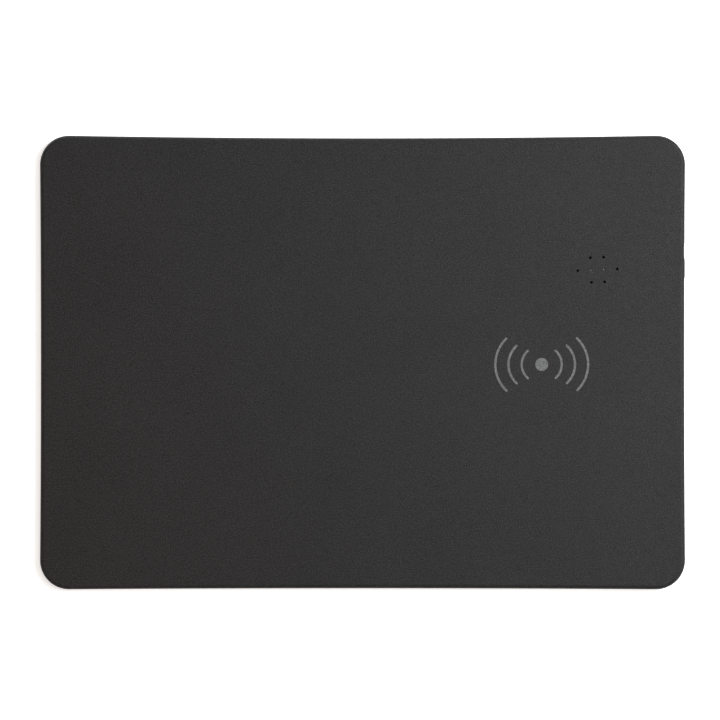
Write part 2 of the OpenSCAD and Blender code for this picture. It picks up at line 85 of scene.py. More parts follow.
class Bench:
    """One piece that is being shaped, from its primitive to its smooth finished mesh."""

    def __init__(self, name: str, size: Sequence[float], middle: Sequence[float], flat: bool = False) -> None:
        """Puts a block, or a flat plate, of a size round a middle and opens it in edit mode.

        Args:
            name: the piece's name.
            size: lengths along X, Y and Z, in metres.
            middle: where the block's middle stands.
            flat: True for a plate with no thickness.
        """
        bpy.ops.object.select_all(action="DESELECT")
        add = bpy.ops.mesh.primitive_plane_add if flat else bpy.ops.mesh.primitive_cube_add
        add(size=1, location=tuple(middle))
        self._adopt(name, size)

    def _adopt(self, name: str, size: Sequence[float]) -> None:
        """Names the new primitive, gives it its size and opens it.

        Args:
            name: the piece's name.
            size: lengths along X, Y and Z, in metres.
        """
        self.piece = bpy.context.object
        self.piece.name = self.piece.data.name = name
        self.piece.scale = tuple(size)
        bpy.ops.object.transform_apply(location=True, rotation=True, scale=True)
        bpy.ops.object.mode_set(mode="EDIT")

    @classmethod
    def disc(cls, name: str, radius: float, middle: Sequence[float], sides: int = 48) -> "Bench":
        """Puts a flat filled circle on the bench.

        Args:
            name: the piece's name.
            radius: the circle's radius.
            middle: where its middle stands.
            sides: how many corners it has.

        Returns:
            The bench with the disc open in edit mode.
        """
        bench = cls.__new__(cls)
        bpy.ops.object.select_all(action="DESELECT")
        bpy.ops.mesh.primitive_circle_add(vertices=sides, radius=radius, fill_type="NGON",
                                          location=tuple(middle))
        bench._adopt(name, (1, 1, 1))
        return bench

    def pick(self, kind: Element, test: Callable[[object], bool]) -> int:
        """Selects the elements that pass a test, and nothing else.

        Args:
            kind: verts, edges or faces.
            test: is given each element and says whether it is wanted.

        Returns:
            How many were selected.
        """
        bpy.ops.mesh.select_mode(type=kind.value)
        bpy.ops.mesh.select_all(action="DESELECT")
        mesh = bmesh.from_edit_mesh(self.piece.data)
        pool = {Element.VERTS: mesh.verts, Element.EDGES: mesh.edges, Element.FACES: mesh.faces}[kind]
        wanted = [element for element in pool if test(element)]
        for element in wanted:
            element.select_set(True)
        bmesh.update_edit_mesh(self.piece.data)
        return len(wanted)

    def pick_all(self) -> None:
        """Selects everything."""
        bpy.ops.mesh.select_all(action="SELECT")

    def pick_level(self, kind: Element, z: float) -> int:
        """Selects the elements that lie at one height."""
        return self.pick(kind, lambda e: all(abs(v.co.z - z) < TOUCH for v in _corners(e)))

    def extrude(self, move: Sequence[float]) -> None:
        """Pushes out the selected region."""
        bpy.ops.mesh.extrude_region_move(TRANSFORM_OT_translate={"value": tuple(move)})

    def bevel(self, width: float, steps: int, kind: str = "EDGES") -> None:
        """Rounds the selected edges or corner points."""
        bpy.ops.mesh.bevel(offset=width, segments=steps, affect=kind, clamp_overlap=False)

    def inset(self, width: float) -> None:
        """Insets the selected faces."""
        bpy.ops.mesh.inset(thickness=width)

    def move(self, by: Sequence[float]) -> None:
        """Moves the selection."""
        bpy.ops.transform.translate(value=tuple(by))

    def pull(self, by: Sequence[float], reach: float, falloff: str) -> None:
        """Moves the selection and draws what is near along with it."""
        bpy.ops.transform.translate(value=tuple(by), use_proportional_edit=True,
                                    proportional_edit_falloff=falloff, proportional_size=reach)

    def stretch(self, by: Sequence[float], about: Sequence[float]) -> None:
        """Scales the selection about a point."""
        bpy.ops.transform.resize(value=tuple(by), center_override=tuple(about))

    def turn(self, angle: float, about: Sequence[float]) -> None:
        """Turns the selection level about a point, anticlockwise seen from above."""
        bpy.ops.transform.rotate(value=-angle, orient_axis="Z", center_override=tuple(about))

    def close(self, face_out: bool = True) -> bpy.types.Object:
        """Ends edit mode.

        Args:
            face_out: True to turn every face outwards first.

        Returns:
            The piece, in object mode.
        """
        if face_out:
            self.pick_all()
            bpy.ops.mesh.normals_make_consistent(inside=False)
        bpy.ops.object.mode_set(mode="OBJECT")
        return self.piece


def _corners(element: object) -> Iterable[bmesh.types.BMVert]:
    """The points of a picked element, whatever its kind."""
    return element.verts if hasattr(element, "verts") else (element,)


def work_on(piece: bpy.types.Object) -> None:
    """Makes a piece the only selected one.

    Args:
        piece: the object to select.
    """
    bpy.ops.object.select_all(action="DESELECT")
    piece.select_set(True)
    bpy.context.view_layer.objects.active = piece


def apply_modifier(piece: bpy.types.Object, kind: str, **settings: object) -> None:
    """Adds one modifier to a piece and applies it.

    Args:
        piece: the object to work on.
        kind: Blender's name for the modifier.
        settings: the modifier's own values.
    """
    work_on(piece)
    modifier = piece.modifiers.new(kind.lower(), kind)
    for name, value in settings.items():
        setattr(modifier, name, value)
    bpy.ops.object.modifier_apply(modifier=modifier.name)


def combine(piece: bpy.types.Object, tool: bpy.types.Object, how: Cut = Cut.TAKE_AWAY) -> None:
    """Cuts a piece with a tool or fuses the two, and throws the tool away.

    Args:
        piece: the piece that stays.
        tool: the solid that works on it.
        how: taken away or added.
    """
    apply_modifier(piece, "BOOLEAN", object=tool, operation=how.value, solver="EXACT")
    bpy.data.objects.remove(tool)


def copies(piece: bpy.types.Object, moves: Iterable[Matrix]) -> bpy.types.Object:
    """Repeats a piece, each copy with its own mesh, and joins the copies.

    Args:
        piece: the pattern, which is used up.
        moves: where each copy goes, from where the pattern stands.

    Returns:
        One object with all the copies.
    """
    made = []
    for move in moves:
        twin = piece.copy()
        twin.data = piece.data.copy()
        twin.data.transform(move)
        bpy.context.scene.collection.objects.link(twin)
        made.append(twin)
    name = piece.name
    bpy.data.objects.remove(piece)
    joined = join(made)
    joined.name = joined.data.name = name
    return joined


def join(pieces: Sequence[bpy.types.Object]) -> bpy.types.Object:
    """Makes one object of several and returns it.

    Args:
        pieces: the objects; the first lends its name.

    Returns:
        The joined object.
    """
    bpy.ops.object.select_all(action="DESELECT")
    for piece in pieces:
        piece.select_set(True)
    bpy.context.view_layer.objects.active = pieces[0]
    if len(pieces) > 1:
        bpy.ops.object.join()
    return pieces[0]


def shifts(places: Iterable[Sequence[float]]) -> list[Matrix]:
    """A move for each place, from the origin."""
    return [Matrix.Translation((*place, 0.0)[:3]) for place in places]


def dress(piece: bpy.types.Object, material: bpy.types.Material, angle: float = 30.0) -> None:
    """Gives a piece its only material and smooth shading between its sharp edges.

    Args:
        piece: the finished mesh.
        material: its finish.
        angle: edges sharper than this many degrees stay sharp.
    """
    piece.data.materials.clear()
    piece.data.materials.append(material)
    smooth(piece, angle)


def smooth(piece: bpy.types.Object, angle: float = 30.0) -> None:
    """Smooths a piece between its sharp edges, and keeps its large flat faces flat to the eye.

    Args:
        piece: the finished mesh.
        angle: edges sharper than this many degrees stay sharp.
    """
    work_on(piece)
    bpy.ops.object.shade_smooth_by_angle(angle=math.radians(angle))
    apply_modifier(piece, "WEIGHTED_NORMAL", keep_sharp=True, weight=100)


def hand_over(piece: bpy.types.Object, slot: str, *nodes: str) -> bpy.types.Object:
    """Hangs a finished piece on the pad's one body and hides the CAD nodes that it stands for.

    Args:
        piece: the finished piece.
        slot: the record's material slot of the piece; not used.
        nodes: the CAD nodes that it replaces.

    Returns:
        The piece.
    """
    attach(piece, "root")
    if nodes:
        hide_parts(*nodes)
    log.info("%s: %d faces, stands for %s", piece.name, len(piece.data.polygons), ", ".join(nodes) or "no node")
    return piece


def node_size(node: str) -> tuple[Vector, Vector]:
    """The middle and the size of a CAD node."""
    low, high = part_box(node)
    return (low + high) / 2, high - low


def mount_place(name: str) -> Vector:
    """Where the record puts one of its mounts."""
    return Vector(next(m["pos_m"] for m in frame["record"]["mounts"] if m["name"] == name))


# ---------------------------------------------------------------- finishes


class Recipe:
    """A material's nodes, laid from the texture coordinates to the shader."""

    def __init__(self, name: str, roughness: float, metallic: float = 0.0, specular: float = 0.5) -> None:
        """Starts a material with the values that are the same all over it.

        Args:
            name: the material's name.
            roughness: how matt it is, from 0 to 1.
            metallic: 1 for bare metal.
            specular: how strongly its surface mirrors light.
        """
        self.material = bpy.data.materials.new(name)
        self.material.use_nodes = True
        self.nodes = self.material.node_tree.nodes
        self.links = self.material.node_tree.links
        self.shader = next(n for n in self.nodes if n.type == "BSDF_PRINCIPLED")
        self.set(Roughness=roughness, Metallic=metallic)
        self.shader.inputs["Specular IOR Level"].default_value = specular
        self.where = self.add("ShaderNodeTexCoord").outputs["Object"]

    def set(self, **values: float) -> None:
        """Sets constants on the shader's own sockets."""
        for name, value in values.items():
            self.shader.inputs[name.replace("_", " ")].default_value = value

    def add(self, kind: str, **settings: object) -> bpy.types.Node:
        """Adds a node and sets its options.

        Args:
            kind: Blender's name for the node.
            settings: the node's own options.

        Returns:
            The node.
        """
        node = self.nodes.new(kind)
        for name, value in settings.items():
            setattr(node, name, value)
        return node

    def link(self, source: bpy.types.NodeSocket, target: bpy.types.NodeSocket) -> None:
        """Joins two sockets."""
        self.links.new(source, target)

    def placed(self, stretch: Sequence[float], turn: float = 0.0) -> bpy.types.NodeSocket:
        """Object coordinates, stretched and turned about Z.

        Args:
            stretch: scale along each axis.
            turn: degrees about Z.

        Returns:
            The changed coordinates.
        """
        mapping = self.add("ShaderNodeMapping")
        mapping.inputs["Scale"].default_value = tuple(stretch)
        mapping.inputs["Rotation"].default_value = (0, 0, math.radians(turn))
        self.link(self.where, mapping.inputs["Vector"])
        return mapping.outputs["Vector"]

    def noise(self, feature: float, detail: float = 2.0, rough: float = 0.5,
              at: bpy.types.NodeSocket | None = None) -> bpy.types.NodeSocket:
        """Soft noise whose features have a size in metres.

        Args:
            feature: size of a feature.
            detail: number of finer layers.
            rough: strength of the finer layers.
            at: coordinates, if not the plain ones.

        Returns:
            A value round 0.5.
        """
        node = self.add("ShaderNodeTexNoise")
        self.link(at or self.where, node.inputs["Vector"])
        for name, value in (("Scale", 1 / feature), ("Detail", detail), ("Roughness", rough)):
            node.inputs[name].default_value = value
        return node.outputs["Fac"]

    def cells(self, feature: float, kind: str = "F1", at: bpy.types.NodeSocket | None = None,
              randomness: float = 1.0, output: str = "Distance") -> bpy.types.NodeSocket:
        """A field of cells whose spacing is in metres.

        Args:
            feature: size of a cell.
            kind: F1 for rounded cells, DISTANCE_TO_EDGE for creases between them.
            at: coordinates, if not the plain ones.
            randomness: 0 for a regular grid.
            output: the node's output to read.

        Returns:
            The distance, or the cell's colour.
        """
        node = self.add("ShaderNodeTexVoronoi", feature=kind)
        self.link(at or self.where, node.inputs["Vector"])
        node.inputs["Scale"].default_value = 1 / feature
        node.inputs["Randomness"].default_value = randomness
        return node.outputs[output]

    def wave(self, feature: float, direction: str,
             at: bpy.types.NodeSocket | None = None) -> bpy.types.NodeSocket:
        """Parallel ridges whose spacing is in metres.

        Args:
            feature: spacing of the ridges.
            direction: X, Y, Z or DIAGONAL.
            at: coordinates, if not the plain ones.

        Returns:
            A value from 0 to 1.
        """
        node = self.add("ShaderNodeTexWave", bands_direction=direction)
        self.link(at or self.where, node.inputs["Vector"])
        node.inputs["Scale"].default_value = math.pi / (10 * feature)
        return node.outputs["Fac"]

    def ramp(self, source: bpy.types.NodeSocket, *stops: tuple[float, Colour | float]) -> bpy.types.NodeSocket:
        """Colours for a value.

        Args:
            source: the value.
            stops: places from 0 to 1, each with its colour or grey.

        Returns:
            The colour.
        """
        node = self.add("ShaderNodeValToRGB")
        band = node.color_ramp.elements
        while len(band) < len(stops):
            band.new(0.5)
        for element, (place, colour) in zip(band, stops):
            element.position = place
            element.color = (*colour, 1) if isinstance(colour, tuple) else (colour, colour, colour, 1)
        self.link(source, node.inputs["Fac"])
        return node.outputs["Color"]

    def sum(self, first: bpy.types.NodeSocket, second: bpy.types.NodeSocket | float,
            weight: float = 1.0) -> bpy.types.NodeSocket:
        """Adds a field or a number, weighted, to a field.

        Args:
            first: the field that counts in full.
            second: the field or number that is added.
            weight: how much of the second is added.

        Returns:
            The socket that gives the sum.
        """
        node = self.add("ShaderNodeMath", operation="MULTIPLY_ADD")
        for socket, value in zip(node.inputs, (second, weight, first)):
            if isinstance(value, (int, float)):
                socket.default_value = value
            else:
                self.link(value, socket)
        return node.outputs[0]

    def blend(self, first: bpy.types.NodeSocket, second: bpy.types.NodeSocket,
              share: bpy.types.NodeSocket | float, how: str = "MIX") -> bpy.types.NodeSocket:
        """Mixes two colours.

        Args:
            first: the colour where share is 0.
            second: the colour where share is 1.
            share: how much of the second shows.
            how: the way of mixing.

        Returns:
            The mixed colour.
        """
        node = self.add("ShaderNodeMix", data_type="RGBA", blend_type=how)
        for socket, value in ((node.inputs[0], share), (node.inputs[6], first), (node.inputs[7], second)):
            if isinstance(value, (int, float)):
                socket.default_value = value
            else:
                self.link(value, socket)
        return node.outputs[2]

    def colour(self, source: bpy.types.NodeSocket) -> None:
        """Joins a colour to the shader."""
        self.link(source, self.shader.inputs["Base Color"])

    def gloss(self, source: bpy.types.NodeSocket, low: float, high: float) -> None:
        """Lets the roughness vary between two values.

        Args:
            source: the field that it varies with.
            low: the roughness where the field is low.
            high: the roughness where the field is high.
        """
        node = self.add("ShaderNodeMapRange")
        self.link(source, node.inputs["Value"])
        node.inputs["From Min"].default_value, node.inputs["From Max"].default_value = 0.3, 0.7
        node.inputs["To Min"].default_value, node.inputs["To Max"].default_value = low, high
        self.link(node.outputs["Result"], self.shader.inputs["Roughness"])

    def relief(self, height: bpy.types.NodeSocket, depth: float) -> None:
        """Raises the surface by a height field.

        Args:
            height: the field, from 0 to about 1.
            depth: how far it raises the surface at 1, in metres.
        """
        node = self.add("ShaderNodeBump")
        node.inputs["Strength"].default_value = 1.0
        node.inputs["Distance"].default_value = depth
        self.link(height, node.inputs["Height"])
        self.link(node.outputs["Normal"], self.shader.inputs["Normal"])


@dataclass(frozen=True)
class Finish:
    """What every finish has: its name, the two colours that it varies between, and its gloss."""

    name: str
    dark: Colour
    light: Colour
    roughness: float = 0.5
    specular: float = 0.5

    def start(self, metallic: float = 0.0) -> Recipe:
        """Starts the finish's recipe."""
        return Recipe(self.name, self.roughness, metallic, self.specular)

    def make(self) -> bpy.types.Material:
        """Builds the material; each kind of finish has its own way."""
        raise NotImplementedError


@dataclass(frozen=True)
class GrainedLeather(Finish):
    """Coated leather with a fine pebbled grain, pores and slightly uneven colour, with painted shade in the
    creases, painted light on the pebble tops and painted glint specks.
    """

    pebble: float = 0.75 * MM
    pore: float = 0.2 * MM
    depth: float = 0.05 * MM

    def grain(self, recipe: Recipe) -> bpy.types.NodeSocket:
        """The height of the pebbled grain, from 0 in the creases to about 1.

        Args:
            recipe: the material that it is laid in.

        Returns:
            The socket that gives the height.
        """
        drift = recipe.noise(2.4 * MM, 2.0)
        pebbles = recipe.cells(self.pebble, "DISTANCE_TO_EDGE")
        raised = recipe.ramp(pebbles, (0.0, 0.0), (0.16, 0.72), (0.55, 1.0))
        fine = recipe.noise(self.pore, 3.0, 0.6)
        return recipe.sum(recipe.sum(raised, drift, 0.6), fine, 0.55)

    def make(self) -> bpy.types.Material:
        """Builds the material.

        Returns:
            The material, ready to put on a piece.
        """
        recipe = self.start()
        grain = self.grain(recipe)
        # Painted shade and light besides the grain itself: the colour follows the grain's height, darker in the
        # creases and lighter on the pebble tops.
        grain_and_shade_tone = recipe.ramp(grain, (0.35, self.dark), (0.95, self.light))
        clouds = recipe.ramp(recipe.noise(46 * MM, 3.0, 0.55), (0.3, 0.94), (0.7, 1.05))
        # Painted glints and shade: small light specks, with darker ones between, stand in for light catching
        # the grain.
        glint_and_shade_specks = recipe.ramp(recipe.noise(0.6 * MM, 3.0, 0.85), (0.33, 0.22), (0.5, 0.9), (0.68, 2.35))
        recipe.colour(recipe.blend(recipe.blend(grain_and_shade_tone, clouds, 1.0, "MULTIPLY"), glint_and_shade_specks, 1.0, "MULTIPLY"))
        recipe.gloss(recipe.noise(3.0 * MM, 3.0), self.roughness - 0.05, self.roughness + 0.07)
        swell = recipe.noise(30 * MM, 1.0)
        recipe.relief(recipe.sum(grain, swell, 2.0), self.depth)
        return recipe.material


@dataclass(frozen=True)
class PrintedInk(GrainedLeather):
    """Matt ink that follows the leather's grain, with painted shade in the creases and painted light on its
    high spots.
    """

    def make(self) -> bpy.types.Material:
        """Builds the material.

        Returns:
            The material, ready to put on a piece.
        """
        recipe = self.start()
        grain = self.grain(recipe)
        # Painted shade and light: the ink is darker in the grain's creases and lighter on its high spots.
        grain_and_shade_tone = recipe.ramp(grain, (0.3, self.dark), (0.9, self.light))
        worn = recipe.ramp(recipe.noise(0.7 * MM, 3.0, 0.85), (0.34, 0.5), (0.66, 1.5))
        recipe.colour(recipe.blend(grain_and_shade_tone, worn, 1.0, "MULTIPLY"))
        recipe.relief(grain, self.depth)
        return recipe.material


@dataclass(frozen=True)
class Moulded(Finish):
    """Moulded plastic or rubber with a fine eroded texture and slight flow marks."""

    texture: float = 0.12 * MM
    depth: float = 0.006 * MM

    def make(self) -> bpy.types.Material:
        """Builds the material.

        Returns:
            The material, ready to put on a piece.
        """
        recipe = self.start()
        flow = recipe.noise(9 * MM, 3.0, at=recipe.placed((1, 0.35, 1)))
        eroded = recipe.noise(self.texture, 3.0, 0.65)
        mottled = recipe.sum(flow, eroded, 0.5)
        recipe.colour(recipe.ramp(mottled, (0.45, self.dark), (1.0, self.light)))
        recipe.gloss(flow, self.roughness - 0.06, self.roughness + 0.06)
        recipe.relief(eroded, self.depth)
        return recipe.material


@dataclass(frozen=True)
class Fibreboard(Finish):
    """Pressed wood fibres, light and dark, lying every way."""

    fibre: float = 0.35 * MM

    def make(self) -> bpy.types.Material:
        """Builds the material.

        Returns:
            The material, ready to put on a piece.
        """
        recipe = self.start()
        along = recipe.noise(self.fibre, 4.0, 0.6, recipe.placed((0.18, 1, 1), 22))
        across = recipe.noise(self.fibre, 4.0, 0.6, recipe.placed((1, 0.18, 1), 35))
        fibres = recipe.sum(recipe.sum(along, across, 1.0), -0.5, 1.0)
        recipe.colour(recipe.ramp(fibres, (0.3, self.dark), (0.7, self.light)))
        recipe.relief(fibres, 0.05 * MM)
        return recipe.material


@dataclass(frozen=True)
class Ceramic(Finish):
    """Fired or pressed ceramic: a fine powdery body with scattered bright grains."""

    grain: float = 0.15 * MM
    sparkle: float = 0.35

    def make(self) -> bpy.types.Material:
        """Builds the material.

        Returns:
            The material, ready to put on a piece.
        """
        recipe = self.start()
        body = recipe.noise(self.grain, 4.0, 0.7)
        patches = recipe.noise(2.5 * MM, 2.0)
        recipe.colour(recipe.ramp(recipe.sum(body, patches, 0.5), (0.5, self.dark), (0.95, self.light)))
        crystals = recipe.cells(0.22 * MM, output="Color")
        recipe.gloss(crystals, self.roughness + 0.1, self.roughness - self.sparkle * 0.4)
        recipe.relief(body, 0.01 * MM)
        return recipe.material


@dataclass(frozen=True)
class Plated(Finish):
    """Plated or tinned metal with fine drawing lines and faint spots."""

    line: float = 0.05 * MM

    def make(self) -> bpy.types.Material:
        """Builds the material.

        Returns:
            The material, ready to put on a piece.
        """
        recipe = self.start(metallic=1.0)
        lines = recipe.noise(self.line, 2.0, at=recipe.placed((0.08, 1, 1)))
        spots = recipe.noise(0.9 * MM, 3.0, 0.6)
        recipe.colour(recipe.ramp(spots, (0.3, self.dark), (0.65, self.light)))
        recipe.gloss(recipe.sum(lines, spots, 0.3), self.roughness - 0.08, self.roughness + 0.12)
        recipe.relief(lines, 0.002 * MM)
        return recipe.material


@dataclass(frozen=True)
class SolderMask(Finish):
    """Lacquered circuit board: copper tracks show darker and lighter under the lacquer."""

    track: float = 0.55 * MM

    def make(self) -> bpy.types.Material:
        """Builds the material.

        Returns:
            The material, ready to put on a piece.
        """
        recipe = self.start()
        cell = recipe.cells(3.2 * MM, output="Color", randomness=0.0)
        ways = recipe.wave(self.track, "X")
        crossways = recipe.wave(self.track, "Y")
        tracks = recipe.ramp(recipe.blend(ways, crossways, recipe.ramp(cell, (0.48, 0.0), (0.52, 1.0))),
                             (0.42, self.dark), (0.58, self.light))
        weave = recipe.ramp(recipe.noise(0.25 * MM, 3.0, 0.6), (0.3, 0.86), (0.7, 1.08))
        recipe.colour(recipe.blend(tracks, weave, 1.0, "MULTIPLY"))
        recipe.relief(tracks, 0.03 * MM)
        recipe.set(Coat_Weight=0.5, Coat_Roughness=0.15)
        return recipe.material


@dataclass(frozen=True)
class LitzCopper(Finish):
    """Many fine enamelled strands twisted into one wire; the pattern follows the wire's own map."""

    strands: int = 9
    lay: float = 0.22

    def make(self) -> bpy.types.Material:
        """Builds the material.

        Returns:
            The material, ready to put on a piece.
        """
        recipe = self.start(metallic=0.85)
        along = recipe.add("ShaderNodeUVMap", uv_map="wire").outputs["UV"]
        recipe.where = along
        twisted = recipe.add("ShaderNodeMapping")
        twisted.inputs["Rotation"].default_value = (0, 0, math.atan(self.lay))
        twisted.inputs["Scale"].default_value = (1, self.strands, 1)
        recipe.link(along, twisted.inputs["Vector"])
        strands = recipe.wave(1.0, "Y", twisted.outputs["Vector"])
        tint = recipe.noise(6.0, 3.0, 0.7, twisted.outputs["Vector"])
        recipe.colour(recipe.blend(recipe.ramp(strands, (0.15, self.dark), (0.8, self.light)),
                                   recipe.ramp(tint, (0.3, 0.7), (0.7, 1.15)), 1.0, "MULTIPLY"))
        recipe.relief(strands, 0.05 * MM)
        return recipe.material


@dataclass(frozen=True)
class Braid(Finish):
    """Glass-cloth sleeving: two sets of yarns that cross."""

    yarn: float = 0.28 * MM

    def make(self) -> bpy.types.Material:
        """Builds the material.

        Returns:
            The material, ready to put on a piece.
        """
        recipe = self.start()
        one = recipe.wave(self.yarn, "DIAGONAL")
        other = recipe.wave(self.yarn, "DIAGONAL", recipe.placed((-1, 1, 1)))
        weave = recipe.sum(recipe.sum(one, other, 1.0), -0.5, 1.0)
        recipe.colour(recipe.ramp(weave, (0.1, self.dark), (0.8, self.light)))
        recipe.relief(weave, 0.03 * MM)
        return recipe.material


@dataclass(frozen=True)
class Gauze(Finish):
    """Fine plain-woven gauze: two sets of threads at right angles."""

    thread: float = 0.22 * MM

    def make(self) -> bpy.types.Material:
        """Builds the material.

        Returns:
            The material, ready to put on a piece.
        """
        recipe = self.start()
        warp, weft = recipe.wave(self.thread, "X"), recipe.wave(self.thread, "Y")
        weave = recipe.sum(recipe.sum(warp, weft, 1.0), -0.6, 1.0)
        recipe.colour(recipe.ramp(weave, (0.1, self.dark), (0.9, self.light)))
        recipe.relief(weave, 0.04 * MM)
        return recipe.material


@dataclass(frozen=True)
class Film(Finish):
    """Double-sided adhesive film: pale, with tiny bubbles."""

    def make(self) -> bpy.types.Material:
        """Builds the material.

        Returns:
            The material, ready to put on a piece.
        """
        recipe = self.start()
        bubbles = recipe.cells(1.3 * MM)
        haze = recipe.noise(6 * MM, 3.0)
        shown = recipe.sum(haze, bubbles, 0.3)
        recipe.colour(recipe.ramp(shown, (0.35, self.dark), (0.8, self.light)))
        recipe.relief(bubbles, 0.01 * MM)
        return recipe.material


@dataclass(frozen=True)
class Translucent(Finish):
    """Clear or milky moulded plastic."""

    clear: float = 0.0

    def make(self) -> bpy.types.Material:
        """Builds the material.

        Returns:
            The material, ready to put on a piece.
        """
        recipe = self.start()
        cloud = recipe.noise(0.6 * MM, 2.0)
        recipe.colour(recipe.ramp(cloud, (0.3, self.dark), (0.7, self.light)))
        recipe.relief(cloud, 0.004 * MM)
        recipe.set(Transmission_Weight=self.clear)
        return recipe.material


LEATHER = GrainedLeather("charcoal_leather", (0.0052, 0.0051, 0.0052), (0.0185, 0.0181, 0.0184), 0.48, 0.19)
INK = PrintedInk("grey_print", (0.078, 0.081, 0.082), (0.138, 0.143, 0.145), 0.6, 0.19)
RUBBER = Moulded("base_rubber", (0.016, 0.016, 0.017), (0.025, 0.025, 0.027), 0.78, 0.3, 0.3 * MM, 0.02 * MM)
BEZEL_PLASTIC = Moulded("bezel_plastic", (0.009, 0.009, 0.01), (0.02, 0.02, 0.022), 0.48, 0.5)
MODULE_PLASTIC = Moulded("module_plastic", (0.016, 0.016, 0.018), (0.035, 0.036, 0.04), 0.55, 0.5, 0.2 * MM)
SOCKET_PLASTIC = Moulded("socket_plastic", (0.006, 0.006, 0.007), (0.016, 0.016, 0.017), 0.4, 0.5)
CHIP_EPOXY = Moulded("chip_epoxy", (0.008, 0.008, 0.01), (0.026, 0.026, 0.029), 0.6, 0.4, 0.08 * MM)
THERMAL_SILICONE = Moulded("thermal_silicone", (0.16, 0.23, 0.3), (0.28, 0.36, 0.43), 0.8, 0.3,
                           0.4 * MM, 0.02 * MM)
SENSOR_EPOXY = Moulded("sensor_epoxy", (0.006, 0.007, 0.012), (0.018, 0.02, 0.032), 0.22, 0.6, 0.3 * MM)
BOARD = Fibreboard("pressed_fibreboard", (0.17, 0.1, 0.05), (0.46, 0.32, 0.19), 0.85, 0.2)
FERRITE = Ceramic("fired_ferrite", (0.03, 0.032, 0.036), (0.085, 0.09, 0.098), 0.5, 0.5)
INDUCTOR = Ceramic("pressed_ferrite", (0.035, 0.035, 0.04), (0.1, 0.1, 0.108), 0.62, 0.4)
CAPACITOR = Ceramic("capacitor_ceramic", (0.27, 0.15, 0.07), (0.46, 0.29, 0.15), 0.48, 0.5)
RESISTOR = Ceramic("resistor_glaze", (0.008, 0.008, 0.012), (0.022, 0.022, 0.028), 0.28, 0.5, sparkle=0.1)
# The dust gauze under the vents is near black so that the holes look dark: partly a real part's colour, partly
# painted shade.
SHADE_BLACK_GAUZE = Gauze("black_gauze", (0.002, 0.002, 0.002), (0.012, 0.012, 0.013), 0.9, 0.1)
ADHESIVE = Film("adhesive_film", (0.42, 0.39, 0.29), (0.68, 0.65, 0.54), 0.35, 0.5)
LACQUER = SolderMask("solder_mask", (0.008, 0.075, 0.03), (0.016, 0.15, 0.062), 0.32, 0.5)
COPPER = LitzCopper("litz_copper", (0.2, 0.06, 0.02), (0.72, 0.3, 0.12), 0.36, 0.5)
SLEEVE = Braid("glass_sleeve", (0.36, 0.33, 0.22), (0.66, 0.63, 0.5), 0.75, 0.3)
STEEL = Plated("nickel_plate", (0.4, 0.4, 0.41), (0.66, 0.66, 0.67), 0.28)
TIN = Plated("bright_tin", (0.5, 0.5, 0.5), (0.78, 0.78, 0.79), 0.32)
GOLD = Plated("gold_flash", (0.6, 0.38, 0.1), (0.86, 0.6, 0.22), 0.24)
# The light pipes are coloured nearly black so that the two middle vent holes look dark: painted shade in place
# of clear plastic's colour.
SHADE_DARK_PIPE = Translucent("shade_dark_pipe", (0.006, 0.0063, 0.0068), (0.02, 0.021, 0.023), 0.12, 0.38, 0.9)
RESIN = Translucent("lamp_resin", (0.34, 0.32, 0.24), (0.5, 0.48, 0.4), 0.3, 0.5)


class Wardrobe:
    """Every finish's material, made once and handed out."""

    def __init__(self) -> None:
        """Starts with no material made."""
        self.made: dict[str, bpy.types.Material] = {}

    def get(self, finish: Finish) -> bpy.types.Material:
        """The material of a finish, made the first time that it is wanted.

        Args:
            finish: the finish.

        Returns:
            Its material.
        """
        if finish.name not in self.made:
            self.made[finish.name] = finish.make()
        return self.made[finish.name]

    def dress_node(self, node: str, finish: Finish) -> None:
        """Puts a finish on a CAD node that stays.

        Args:
            node: the node's name.
            finish: its finish.
        """
        piece = frame["nodes"][node]
        piece.data.materials.clear()
        piece.data.materials.append(self.get(finish))
        log.info("%s: dressed in %s", node, finish.name)


WARDROBE = Wardrobe()


# ---------------------------------------------------------------- the pad's plan


